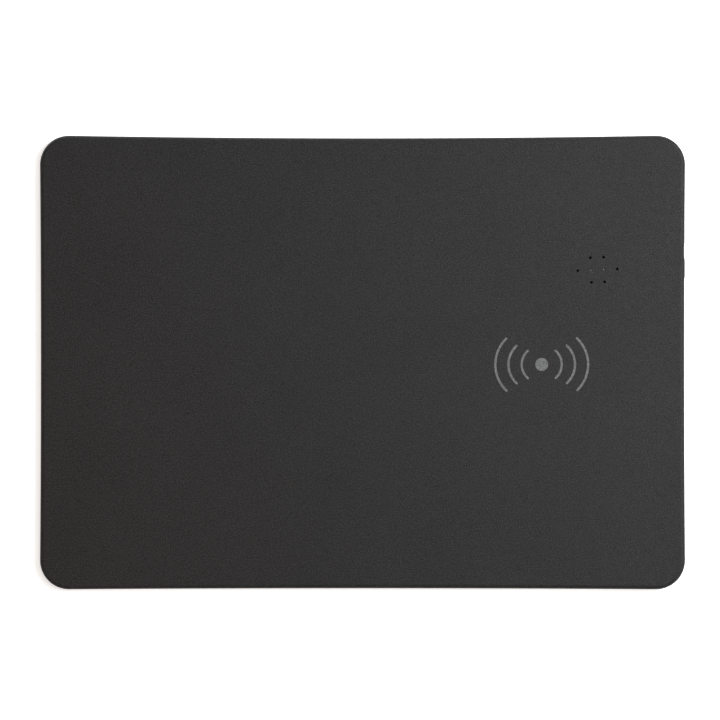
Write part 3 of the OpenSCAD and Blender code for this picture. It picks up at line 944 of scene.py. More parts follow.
@dataclass(frozen=True)
class PadPlan:
    """The pad's outline: round corners joined by sides that the wrap pulls in at their middles."""

    length: float
    depth: float
    corner: float = 13.5 * MM
    far_bow: float = 1.2 * MM
    near_bow: float = 0.5 * MM
    side_bow: float = 0.4 * MM
    corner_steps: int = 24
    side_cuts: int = 91
    shortest_side: float = 50 * MM

    @property
    def run_x(self) -> float:
        """Half the straight run of a long side."""
        return self.length / 2 - self.corner

    @property
    def run_y(self) -> float:
        """Half the straight run of a short side."""
        return self.depth / 2 - self.corner

    def side_at(self, y: float) -> float:
        """Where the right-hand side stands at a distance from the middle line."""
        return self.length / 2 - self.side_bow * (1 - (y / self.run_y) ** 2)

    def slab(self, name: str, inset: float, bottom: float, top: float) -> Bench:
        """A slab of the outline, moved inwards, between two heights.

        Args:
            name: the piece's name.
            inset: how far inside the pad's outline it ends.
            bottom: its lower height.
            top: its upper height.

        Returns:
            The bench with the slab open in edit mode.
        """
        size = (self.length - 2 * inset, self.depth - 2 * inset, 1)
        bench = Bench(name, size, (0, 0, bottom), flat=True)
        bench.pick_all()
        bench.bevel(self.corner - inset, self.corner_steps, "VERTICES")
        bench.pick_all()
        bpy.ops.mesh.delete(type="ONLY_FACE")
        bench.pick(Element.EDGES, lambda e: e.calc_length() > self.shortest_side)
        bpy.ops.mesh.subdivide(number_cuts=self.side_cuts)
        bench.pick(Element.EDGES, lambda e: abs(e.verts[0].co.x - e.verts[1].co.x) < TOUCH
                   and e.calc_length() > 1.8 * MM)
        bpy.ops.mesh.subdivide(number_cuts=1)
        for axis, way, bow, run in ((1, 1, self.far_bow, self.run_x), (1, -1, self.near_bow, self.run_x),
                                    (0, 1, self.side_bow, self.run_y), (0, -1, self.side_bow, self.run_y)):
            bench.pick(Element.VERTS, lambda v: abs(v.co[1 - axis]) < TOUCH
                       and v.co[axis] * way > self.shortest_side)
            pull = [0.0, 0.0, 0.0]
            pull[axis] = -way * bow
            bench.pull(pull, run, "INVERSE_SQUARE")
        bench.pick_all()
        bpy.ops.mesh.edge_face_add()
        bench.extrude((0, 0, top - bottom))
        bench.pick_all()
        bpy.ops.mesh.normals_make_consistent(inside=False)
        return bench


@dataclass(frozen=True)
class VentPattern:
    """Holes over the indicator lamps, in rows of two, four and two."""

    from_right: float = 40.9 * MM
    from_middle: float = 43.05 * MM
    pitch_x: float = 6.1 * MM
    pitch_y: float = 5.75 * MM
    turn: float = 2.5
    rows: tuple[tuple[int, tuple[float, ...]], ...] = (
        (1, (-0.5, 0.5)), (0, (-1.5, -0.5, 0.5, 1.5)), (-1, (-0.5, 0.5)))

    def places(self, length: float) -> list[Place]:
        """The middles of the holes on a pad of a length, row by row from the far side.

        Args:
            length: the pad's length.

        Returns:
            The places, seen from above.
        """
        angle = math.radians(self.turn)
        made = []
        for row, columns in self.rows:
            for column in columns:
                x, y = column * self.pitch_x, row * self.pitch_y
                made.append((length / 2 - self.from_right + x * math.cos(angle) - y * math.sin(angle),
                             self.from_middle + x * math.sin(angle) + y * math.cos(angle)))
        return made


# ---------------------------------------------------------------- outside pieces


@dataclass
class LeatherCover:
    """The wrap: face, rolled sides and the skived hem that is turned under the board."""

    plan: PadPlan
    vents: VentPattern
    leather: float = 0.8 * MM
    hem_width: float = 12 * MM
    top_rounding: float = 2 * MM
    bottom_rounding: float = 1.2 * MM
    punch: float = 1.2 * MM
    punched_rim: tuple[tuple[float, float], ...] = (
        (-0.12 * MM, 0.0), (-0.05 * MM, 0.02 * MM), (-0.015 * MM, 0.05 * MM), (0.0, 0.1 * MM),
        (0.25 * MM, 0.6 * MM))
    slot: tuple[float, float] = (9.2 * MM, 3.35 * MM)
    slot_radius: float = 1.2 * MM
    dent_at: float = 51.8 * MM
    dent_depth: float = 0.17 * MM
    dent_reach: float = 4.2 * MM
    over: float = 0.5 * MM

    def __post_init__(self) -> None:
        """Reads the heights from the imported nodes."""
        low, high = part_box("leather_cover")
        self.hem_bottom, self.face = low.z, high.z
        self.board_bottom, self.board_top = (corner.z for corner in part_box("core_board"))

    def body(self) -> bpy.types.Object:
        """The outside form, rounded above and below.

        Returns:
            The solid, before it is hollowed.
        """
        bench = self.plan.slab("leather_skin", 0, self.hem_bottom, self.face)
        bench.pick_level(Element.EDGES, self.face)
        bench.bevel(self.top_rounding, 10)
        bench.pick_level(Element.EDGES, self.hem_bottom)
        bench.bevel(self.bottom_rounding, 7)
        self.press_dent(bench)
        return bench.close()

    def press_dent(self, bench: Bench) -> None:
        """Presses in the side beside the socket, where the leather was pulled round the cut.

        Args:
            bench: the bench with the outside form.
        """
        side = self.plan.side_at(self.dent_at)
        bench.pick(Element.VERTS, lambda v: v.co.x > side - 0.4 * MM and abs(v.co.y - self.dent_at) < 0.6 * MM)
        bench.pull((-self.dent_depth, 0, 0), self.dent_reach, "SMOOTH")

    def hollow(self, body: bpy.types.Object) -> None:
        """Clears the room for the board and opens the underside inside the hem.

        Args:
            body: the outside form.
        """
        combine(body, self.plan.slab("room", self.leather, self.board_bottom, self.board_top).close())
        low, high = self.hem_bottom - self.over, self.board_bottom + self.over
        combine(body, self.plan.slab("opening", self.hem_width, low, high).close())

    def slot_tool(self) -> bpy.types.Object:
        """The punch that opens the side for the socket.

        Returns:
            The solid to take away.
        """
        port = mount_place("power_socket")
        depth = self.leather + 2 * self.over
        x = self.plan.side_at(port.y) - depth / 2 + self.over
        bench = Bench("slot_punch", (depth, *self.slot), (x, port.y, port.z))
        bench.pick(Element.EDGES, lambda e: abs(e.verts[0].co.x - e.verts[1].co.x) > depth / 2)
        bench.bevel(self.slot_radius, 8)
        return bench.close()

    def vent_tool(self) -> bpy.types.Object:
        """The punches of all the holes; each leaves a soft rim on the face.

        Returns:
            The solids to take away, as one object.
        """
        radius = self.punch / 2
        bench = Bench.disc("vent_punch", radius, (0, 0, self.board_top - self.over), 24)
        level = self.board_top - self.over
        grown = radius
        for height, extra in self.punched_rim:
            bench.pick_level(Element.FACES, level)
            target = self.face + height
            bench.extrude((0, 0, target - level))
            level = target
            bench.stretch(((radius + extra) / grown,) * 2 + (1,), (0, 0, level))
            grown = radius + extra
        return copies(bench.close(), shifts(self.vents.places(self.plan.length)))

    def build(self) -> bpy.types.Object:
        """Makes the wrap from its outside form inwards and dresses it.

        Returns:
            The finished piece.
        """
        skin = self.body()
        self.hollow(skin)
        combine(skin, self.slot_tool())
        combine(skin, self.vent_tool())
        dress(skin, WARDROBE.get(LEATHER), 32)
        hand_over(skin, "leather", "leather_cover")
        return skin

    @property
    def turned(self) -> float:
        """How much of the cut sheet goes down one side and under the board."""
        side = self.face - self.hem_bottom
        return side - (2 - math.pi / 2) * (self.top_rounding + self.bottom_rounding) + self.hem_width


@dataclass
class PrintedMark:
    """The print over the coil: a dot between three pairs of arcs."""

    dot_radius: float = 3.0 * MM
    stroke: float = 1.05 * MM
    turn: float = 0.3
    arcs: tuple[tuple[float, float, float], ...] = (
        (8.45 * MM, 0.85 * MM, 48.5), (11.95 * MM, 3.5 * MM, 47), (16.75 * MM, 4.8 * MM, 46))
    rooted: float = 0.04 * MM
    proud: float = 0.012 * MM
    soft_edge: float = 0.01 * MM

    def __post_init__(self) -> None:
        """Reads the spot's middle and height from the record."""
        self.spot = mount_place("charging_spot")

    def thicken(self, bench: Bench) -> bpy.types.Object:
        """Raises a flat shape to the ink's thickness and softens its upper edge.

        Args:
            bench: the bench with the flat shape.

        Returns:
            The finished stroke or dot.
        """
        bench.pick_all()
        bench.extrude((0, 0, self.rooted + self.proud))
        bench.pick_level(Element.EDGES, self.spot.z + self.proud)
        bench.bevel(self.soft_edge, 1)
        return bench.close()

    def dot(self) -> bpy.types.Object:
        """The dot over the coil's middle."""
        middle = (self.spot.x, self.spot.y, self.spot.z - self.rooted)
        return self.thicken(Bench.disc("ink_dot", self.dot_radius, middle, 72))

    def arc(self, radius: float, offset: float, half_angle: float, faces_left: bool) -> bpy.types.Object:
        """One stroke with round ends, spun about its own middle.

        Args:
            radius: radius of the stroke's middle line.
            offset: how far its centre lies from the spot.
            half_angle: half of what its middle line covers, in degrees; the round ends reach past it.
            faces_left: True for the stroke on the left of the dot.

        Returns:
            The stroke.
        """
        way = 180 if faces_left else 0
        heading = math.radians(self.turn + way)
        low = self.spot.z - self.rooted
        centre = Vector((self.spot.x + offset * math.cos(heading),
                         self.spot.y + offset * math.sin(heading), low))
        steps = 18
        bench = Bench("ink_arc", (self.stroke, self.stroke, 1), centre + Vector((radius, 0, 0)), flat=True)
        bench.pick(Element.VERTS, lambda v: v.co.y > centre.y)
        bpy.ops.mesh.delete(type="VERT")
        bench.pick_all()
        bench.move((0, self.stroke / 2, 0))
        reach = math.radians(half_angle) + self.stroke / 2 / radius
        bench.turn(heading + reach, centre)
        bench.pick_all()
        bpy.ops.mesh.spin(steps=steps, angle=2 * reach, center=tuple(centre), axis=(0, 0, 1))
        bench.pick(Element.VERTS, lambda v: abs(abs(self._turned_from(v.co - centre, heading)) - reach) < 1e-4)
        bench.bevel(self.stroke / 2 * 0.98, 6, "VERTICES")
        return self.thicken(bench)

    @staticmethod
    def _turned_from(arm: Vector, heading: float) -> float:
        """The angle by which an arm is turned from a heading."""
        angle = math.atan2(arm.y, arm.x) - heading
        return (angle + math.pi) % math.tau - math.pi

    def build(self) -> bpy.types.Object:
        """Makes the whole print and dresses it.

        Returns:
            The finished piece.
        """
        strokes = [self.arc(*arc, faces_left) for arc in self.arcs for faces_left in (False, True)]
        mark = join([self.dot(), *strokes])
        mark.name = mark.data.name = "ink_mark"
        dress(mark, WARDROBE.get(INK))
        return hand_over(mark, "grey_ink", "charge_mark")


@dataclass
class BaseSheet:
    """The rubber sheet over the hem, with a field of low diamond studs inside a plain border."""

    plan: PadPlan
    inset: float = 3 * MM
    border: float = 2.6 * MM
    relief: float = 0.25 * MM
    step_inset: float = 12.1 * MM
    pitch: float = 3.0 * MM
    stud: float = 2.3 * MM
    stud_crown: float = 1.5 * MM
    rooted: float = 0.02 * MM

    def __post_init__(self) -> None:
        """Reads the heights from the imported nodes."""
        self.bottom, self.top = (corner.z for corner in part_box("base_sheet"))
        self.hem_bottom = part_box("leather_cover")[0].z

    def sheet(self) -> bpy.types.Object:
        """The sheet: recessed field below, stepped middle above.

        Returns:
            The sheet without its studs.
        """
        bench = self.plan.slab("rubber_base", self.inset, self.bottom, self.hem_bottom)
        bench.pick_level(Element.EDGES, self.bottom)
        bench.bevel(0.15 * MM, 2)
        bench.pick_level(Element.FACES, self.bottom)
        bench.inset(self.border)
        bench.inset(0.2 * MM)
        bench.move((0, 0, self.relief))
        bench.pick_level(Element.FACES, self.hem_bottom)
        bench.inset(self.step_inset - self.inset)
        bench.extrude((0, 0, self.top - self.hem_bottom))
        return bench.close()

    def studs(self) -> bpy.types.Object:
        """The studs, one modelled and the rest copied by two arrays.

        Returns:
            All the studs, as one object.
        """
        half_x = self.plan.length / 2 - self.inset - self.border - 0.4 * self.pitch
        half_y = self.plan.depth / 2 - self.inset - self.border - 0.6 * self.pitch
        columns, rows = int(half_x / self.pitch), int(half_y / self.pitch)
        start = (-columns * self.pitch, -rows * self.pitch)
        height = self.relief + self.rooted
        bench = Bench("stud", (self.stud, self.stud, 1), (*start, self.bottom + height), flat=True)
        bench.pick_all()
        bench.turn(math.radians(45), (*start, 0))
        bench.extrude((0, 0, -height))
        bench.stretch((self.stud_crown / self.stud,) * 2 + (1,), (*start, self.bottom))
        field = bench.close()
        for count, offset in ((2 * columns + 1, (self.pitch, 0, 0)), (2 * rows + 1, (0, self.pitch, 0))):
            apply_modifier(field, "ARRAY", count=count, use_relative_offset=False, use_constant_offset=True,
                           constant_offset_displace=offset)
        self.trim(field, start, half_x, half_y)
        return field

    def trim(self, field: bpy.types.Object, start: Place, half_x: float, half_y: float) -> None:
        """Takes away the studs that stand past the round corners.

        Args:
            field: the studs.
            start: the first stud's place.
            half_x: half the field's length.
            half_y: half its depth.
        """
        radius = self.plan.corner - self.inset - self.border

        def outside(vert: bmesh.types.BMVert) -> bool:
            """Says whether a stud stands past a round corner.

            Args:
                vert: one of the stud's points.

            Returns:
                True if it does.
            """
            column = round((vert.co.x - start[0]) / self.pitch)
            row = round((vert.co.y - start[1]) / self.pitch)
            x, y = abs(start[0] + column * self.pitch), abs(start[1] + row * self.pitch)
            return math.hypot(max(0.0, x - half_x + radius), max(0.0, y - half_y + radius)) > radius

        work_on(field)
        bpy.ops.object.mode_set(mode="EDIT")
        bpy.ops.mesh.select_mode(type="VERT")
        bpy.ops.mesh.select_all(action="DESELECT")
        mesh = bmesh.from_edit_mesh(field.data)
        for vert in mesh.verts:
            if outside(vert):
                vert.select_set(True)
        bmesh.update_edit_mesh(field.data)
        bpy.ops.mesh.delete(type="VERT")
        bpy.ops.object.mode_set(mode="OBJECT")

    def build(self) -> bpy.types.Object:
        """Makes the sheet and its studs and dresses them.

        Returns:
            The finished piece.
        """
        base = join([self.sheet(), self.studs()])
        dress(base, WARDROBE.get(RUBBER))
        return hand_over(base, "base_rubber", "base_sheet")


# ---------------------------------------------------------------- socket


@dataclass
class PowerSocket:
    """The socket in the right-hand side: bezel, steel shell, insulator with its tongue, contacts."""

    plan: PadPlan
    lip: tuple[float, float] = (9.1 * MM, 3.25 * MM)
    lip_radius: float = 1.15 * MM
    lip_proud: float = 0.1 * MM
    leather: float = 0.8 * MM
    flange: tuple[float, float] = (12.4 * MM, 1.6 * MM)
    shell: tuple[float, float, float] = (5.4 * MM, 7.5 * MM, 2.45 * MM)
    wall: float = 0.25 * MM
    chamfer: float = 0.8 * MM
    bezel_gap: float = 0.08 * MM
    plug_fit: float = 0.02 * MM
    tongue: tuple[float, float, float] = (3.6 * MM, 3.7 * MM, 0.65 * MM)
    pitch: float = 0.65 * MM

    def __post_init__(self) -> None:
        """Reads the socket's place from the record and the nodes."""
        self.port = mount_place("power_socket")
        self.side = self.plan.side_at(self.port.y)
        self.back = self.port.x - self.shell[0]

    def shape(self, name: str, grow: float, from_x: float, to_x: float) -> Bench:
        """A block with the socket's outline: lower corners cut off, grown outwards by an amount.

        Args:
            name: the piece's name.
            grow: how far it is larger than the shell.
            from_x: its inner end.
            to_x: its outer end.

        Returns:
            The bench with the block open in edit mode.
        """
        size = (to_x - from_x, self.shell[1] + 2 * grow, self.shell[2] + 2 * grow)
        bench = Bench(name, size, ((from_x + to_x) / 2, self.port.y, self.port.z))
        bench.pick(Element.EDGES, lambda e: all(v.co.z < self.port.z for v in e.verts)
                   and abs(e.verts[0].co.x - e.verts[1].co.x) > size[0] / 2)
        bench.bevel(self.chamfer + grow * (2 - math.sqrt(2)), 1)
        return bench

    def round_long_edges(self, bench: Bench, width: float, steps: int) -> None:
        """Rounds the edges that run along X.

        Args:
            bench: the bench with the block.
            width: how far the rounding reaches.
            steps: how many faces round each edge.
        """
        bench.pick(Element.EDGES, lambda e: abs(e.verts[0].co.x - e.verts[1].co.x) > 0.2 * MM
                   and abs(e.verts[0].co.y - e.verts[1].co.y) < TOUCH
                   and abs(e.verts[0].co.z - e.verts[1].co.z) < TOUCH)
        bench.bevel(width, steps)

    def build_bezel(self) -> bpy.types.Object:
        """The plastic bezel: a lip with round corners in the leather's slot, and a flange behind it.

        Returns:
            The finished piece.
        """
        low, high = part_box("port_bezel")
        inner = self.side - self.leather
        lip_face = self.side + self.lip_proud
        start = inner - 0.5 * MM
        middle = ((lip_face + start) / 2, self.port.y, self.port.z)
        bench = Bench("bezel", (lip_face - start, *self.lip), middle)
        self.round_long_edges(bench, self.lip_radius, 10)
        bench.pick(Element.EDGES, lambda e: all(abs(v.co.x - lip_face) < TOUCH for v in e.verts))
        bench.bevel(0.18 * MM, 3)
        lip = bench.close()
        size = (self.flange[1], self.flange[0], high.z - low.z)
        middle = (inner - self.flange[1] / 2 - 0.02 * MM, self.port.y, (low.z + high.z) / 2)
        bench = Bench("flange", size, middle)
        bench.pick(Element.EDGES, lambda e: abs(e.verts[0].co.z - e.verts[1].co.z) > MM)
        bench.bevel(0.3 * MM, 2)
        combine(lip, bench.close(), Cut.ADD)
        opening = self.shape("opening", self.bezel_gap, inner - self.flange[1] - MM, lip_face + MM)
        combine(lip, opening.close())
        dress(lip, WARDROBE.get(BEZEL_PLASTIC))
        return hand_over(lip, "black_plastic", "port_bezel")

    def build_shell(self) -> bpy.types.Object:
        """The drawn steel shell with rounded edges, two latch windows above and its solder tabs.

        Returns:
            The finished piece.
        """
        bench = self.shape("socket_can", 0, self.back, self.port.x)
        self.round_long_edges(bench, 0.22 * MM, 4)
        can = bench.close()
        bench = self.shape("inside", -self.wall, self.back + self.wall, self.port.x + MM)
        self.round_long_edges(bench, 0.12 * MM, 3)
        combine(can, bench.close())
        window = (1.3 * MM, 0.9 * MM, MM)
        for way in (-1, 1):
            place = (self.port.x - 2.3 * MM, self.port.y + way * 1.9 * MM, self.port.z + self.shell[2] / 2)
            bench = Bench("window", window, place)
            bench.pick(Element.EDGES, lambda e: abs(e.verts[0].co.z - e.verts[1].co.z) > 0.5 * MM)
            bench.bevel(0.12 * MM, 3)
            combine(can, bench.close())
        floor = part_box("circuit_board")[1].z
        tab = (1.6 * MM, 0.9 * MM, 0.3 * MM)
        for way in (-1, 1):
            y = self.port.y + way * (self.shell[1] / 2 - self.chamfer + tab[1] / 2)
            bench = Bench("tab", tab, (self.back + 1.6 * MM, y, floor + tab[2] / 2))
            bench.pick(Element.EDGES, lambda e: all(v.co.z > floor + tab[2] / 2 for v in e.verts))
            bench.bevel(0.08 * MM, 2)
            combine(can, bench.close(), Cut.ADD)
        dress(can, WARDROBE.get(STEEL))
        return hand_over(can, "socket_steel", "socket_shell")

    def build_insulator(self) -> bpy.types.Object:
        """The moulded back with the tongue that carries the contacts.

        Returns:
            The finished piece.
        """
        back = self.back + self.wall + self.plug_fit
        front = back + 1.1 * MM
        base = self.shape("insulator", -self.wall - self.plug_fit, back, front).close()
        reach, width, height = self.tongue
        overlap = 0.5 * MM
        bench = Bench("tongue", (reach + overlap, width, height),
                      (front + (reach - overlap) / 2, self.port.y, self.port.z + height / 2))
        bench.pick(Element.EDGES, lambda e: all(v.co.x > front + reach / 2 for v in e.verts))
        bench.bevel(0.16 * MM, 3)
        combine(base, bench.close(), Cut.ADD)
        dress(base, WARDROBE.get(SOCKET_PLASTIC))
        return hand_over(base, "socket_plastic", "socket_insulator")

    def build_contacts(self) -> bpy.types.Object:
        """Five sprung contacts under the tongue, one modelled and copied.

        Returns:
            The finished piece.
        """
        low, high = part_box("socket_contacts")
        size = (high.x - low.x, 0.36 * MM, high.z - low.z)
        bench = Bench("sprung_contacts", size, ((low.x + high.x) / 2, self.port.y, (low.z + high.z) / 2))
        bench.pick(Element.EDGES, lambda e: all(v.co.z < (low.z + high.z) / 2 for v in e.verts)
                   and abs(e.verts[0].co.x - e.verts[1].co.x) > MM)
        bench.bevel(0.05 * MM, 2)
        bench.pick(Element.EDGES, lambda e: all(abs(v.co.x - high.x) < TOUCH and v.co.z < low.z + TOUCH
                                                for v in e.verts))
        bench.bevel(0.05 * MM, 2)
        rows = [Matrix.Translation((0, i * self.pitch, 0)) for i in (-2, -1, 0, 1, 2)]
        contacts = copies(bench.close(), rows)
        dress(contacts, WARDROBE.get(GOLD))
        return hand_over(contacts, "contact_metal", "socket_contacts")

    def build(self) -> None:
        """Makes the socket's four pieces."""
        self.build_bezel()
        self.build_shell()
        self.build_insulator()
        self.build_contacts()


# ---------------------------------------------------------------- charger module


def islands(node: str) -> list[tuple[Vector, Vector]]:
    """The separate solids of a CAD node.

    Args:
        node: the node's name.

    Returns:
        The lowest and highest corner of each, from left to right and near to far.
    """
    source = frame["nodes"][node]
    mesh = bmesh.new()
    mesh.from_mesh(source.data)
    bmesh.ops.remove_doubles(mesh, verts=mesh.verts, dist=TOUCH)
    left = set(mesh.verts)
    found = []
    while left:
        front = [left.pop()]
        island = list(front)
        while front:
            for edge in front.pop().link_edges:
                for vert in edge.verts:
                    if vert in left:
                        left.discard(vert)
                        front.append(vert)
                        island.append(vert)
        found.append(tuple(Vector(pick(v.co[i] for v in island) for i in range(3)) for pick in (min, max)))
    mesh.free()
    return sorted(found, key=lambda box: (round(box[0].x, 5), round(box[0].y, 5)))


@dataclass
class ChipParts:
    """Small parts with tinned ends: capacitors and resistors that lie on the circuit board."""

    node: str
    slot: str
    body: Finish
    along_y: bool = False
    cap_share: float = 0.2
    cap_swell: float = 0.035 * MM

    def pattern(self, low: Vector, high: Vector) -> bpy.types.Object:
        """One part, its ends a little thicker than its ceramic middle.

        Args:
            low: lowest corner of the part.
            high: its highest corner.

        Returns:
            The part, with the body's material first and tin second.
        """
        axis = 1 if self.along_y else 0
        size, middle = high - low, (low + high) / 2
        cap = size[axis] * self.cap_share
        bench = Bench(self.node + "_fine", size, middle)
        for way in (-1, 1):
            cut = middle.copy()
            cut[axis] += way * (size[axis] / 2 - cap)
            normal = [0, 0, 0]
            normal[axis] = 1
            bench.pick_all()
            bpy.ops.mesh.bisect(plane_co=tuple(cut), plane_no=tuple(normal))
        end = size[axis] / 2 - TOUCH
        bench.pick(Element.EDGES, lambda e: all(abs(v.co[axis] - middle[axis]) > end for v in e.verts))
        bench.bevel(min(size) * 0.1, 2)
        waist = size[axis] / 2 - cap + TOUCH
        bench.pick(Element.FACES, lambda f: all(abs(v.co[axis] - middle[axis]) < waist for v in f.verts)
                   and f.normal.z > -0.5)
        bench.inset(0.03 * MM)
        others = [1 - axis, 2]
        squeeze = [1.0, 1.0, 1.0]
        for other in others:
            squeeze[other] = 1 - 2 * self.cap_swell / size[other]
        bench.stretch(squeeze, (middle.x, middle.y, low.z))
        part = bench.close()
        part.data.materials.append(WARDROBE.get(self.body))
        part.data.materials.append(WARDROBE.get(TIN))
        for face in part.data.polygons:
            face.material_index = 0 if abs(face.center[axis] - middle[axis]) < waist - 2e-6 else 1
        return part

    def build(self) -> bpy.types.Object:
        """Makes one part and copies it to every place that the node has.

        Returns:
            The finished piece.
        """
        found = islands(self.node)
        first = found[0][0]
        row = copies(self.pattern(*found[0]), [Matrix.Translation(low - first) for low, _ in found])
        smooth(row)
        return hand_over(row, self.slot, self.node)


@dataclass
class FlatChip:
    """A moulded flat chip: bevelled body, a dimple at its first corner, and lands round its foot."""

    node: str
    lands: int = 8
    land: tuple[float, float] = (0.25 * MM, 0.32 * MM)
    dimple: float = 0.3 * MM

    def build(self) -> bpy.types.Object:
        """Makes the chip with its lands.

        Returns:
            The finished piece.
        """
        low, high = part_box(self.node)
        middle, size = (low + high) / 2, high - low
        bench = Bench(self.node + "_body", size, middle)
        bench.pick(Element.EDGES, lambda e: all(abs(v.co.z - high.z) < TOUCH for v in e.verts))
        bench.bevel(0.09 * MM, 3)
        bench.pick(Element.EDGES, lambda e: abs(e.verts[0].co.z - e.verts[1].co.z) > size.z / 2)
        bench.bevel(0.05 * MM, 2)
        body = bench.close()
        drill = Bench.disc("dimple", self.dimple, (low.x + 0.8 * MM, high.y - 0.8 * MM, high.z - 0.05 * MM), 24)
        drill.pick_all()
        drill.extrude((0, 0, 0.2 * MM))
        combine(body, drill.close())
        dress(body, WARDROBE.get(CHIP_EPOXY))
        lands = self.rows(low, high, middle)
        lands.data.materials.append(WARDROBE.get(TIN))
        chip = join([body, lands])
        chip.name = chip.data.name = self.node + "_fine"
        return hand_over(chip, "chip_epoxy", self.node)

    def rows(self, low: Vector, high: Vector, middle: Vector) -> bpy.types.Object:
        """The lands on all four sides, one modelled and copied.

        Args:
            low: the chip's lowest corner.
            high: its highest corner.
            middle: its middle.

        Returns:
            The lands as one object.
        """
        width, height = self.land
        bench = Bench("land", (0.1 * MM, width, height), (high.x - 0.03 * MM, middle.y, low.z + height / 2))
        bench.pick(Element.EDGES, lambda e: all(v.co.x > high.x - 0.03 * MM for v in e.verts))
        bench.bevel(0.03 * MM, 1)
        pitch = (high.y - low.y - 1.2 * MM) / (self.lands - 1)
        moves = [Matrix.Translation(middle) @ Matrix.Rotation(math.radians(90 * side), 4, "Z")
                 @ Matrix.Translation(-middle) @ Matrix.Translation((0, (i - (self.lands - 1) / 2) * pitch, 0))
                 for side in range(4) for i in range(self.lands)]
        return copies(bench.close(), moves)


@dataclass
class Inductor:
    """A shielded power inductor: pressed body with round corners, a winding groove and two terminals."""

    node: str = "power_inductor"
    corner: float = 0.6 * MM

    def build(self) -> bpy.types.Object:
        """Makes the inductor.

        Returns:
            The finished piece.
        """
        low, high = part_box(self.node)
        size, middle = high - low, (low + high) / 2
        bench = Bench("inductor_fine", size, middle)
        bench.pick(Element.EDGES, lambda e: abs(e.verts[0].co.z - e.verts[1].co.z) > size.z / 2)
        bench.bevel(self.corner, 6)
        bench.pick_level(Element.FACES, high.z)
        bench.inset(0.35 * MM)
        bench.inset(0.2 * MM)
        bench.move((0, 0, -0.12 * MM))
        bench.inset(0.05 * MM)
        bench.move((0, 0, 0.1 * MM))
        bench.pick(Element.EDGES, lambda e: all(abs(v.co.z - high.z) < TOUCH for v in e.verts)
                   and max(abs(v.co.x - middle.x) + abs(v.co.y - middle.y) for v in e.verts) > 1.9 * MM
                   and len(e.link_faces) == 2 and any(abs(f.normal.z) < 0.2 for f in e.link_faces))
        bench.bevel(0.1 * MM, 2)
        body = bench.close()
        dress(body, WARDROBE.get(INDUCTOR))
        terminals = []
        for way in (-1, 1):
            bench = Bench("terminal", (0.5 * MM, 2.6 * MM, 0.5 * MM),
                          (middle.x + way * (size.x / 2 - 0.23 * MM), middle.y, low.z + 0.25 * MM))
            bench.pick(Element.EDGES, lambda e: all(v.co.z > low.z + 0.25 * MM for v in e.verts))
            bench.bevel(0.08 * MM, 2)
            terminal = bench.close()
            terminal.data.materials.append(WARDROBE.get(TIN))
            terminals.append(terminal)
        whole = join([body, *terminals])
        return hand_over(whole, "inductor_ferrite", self.node)


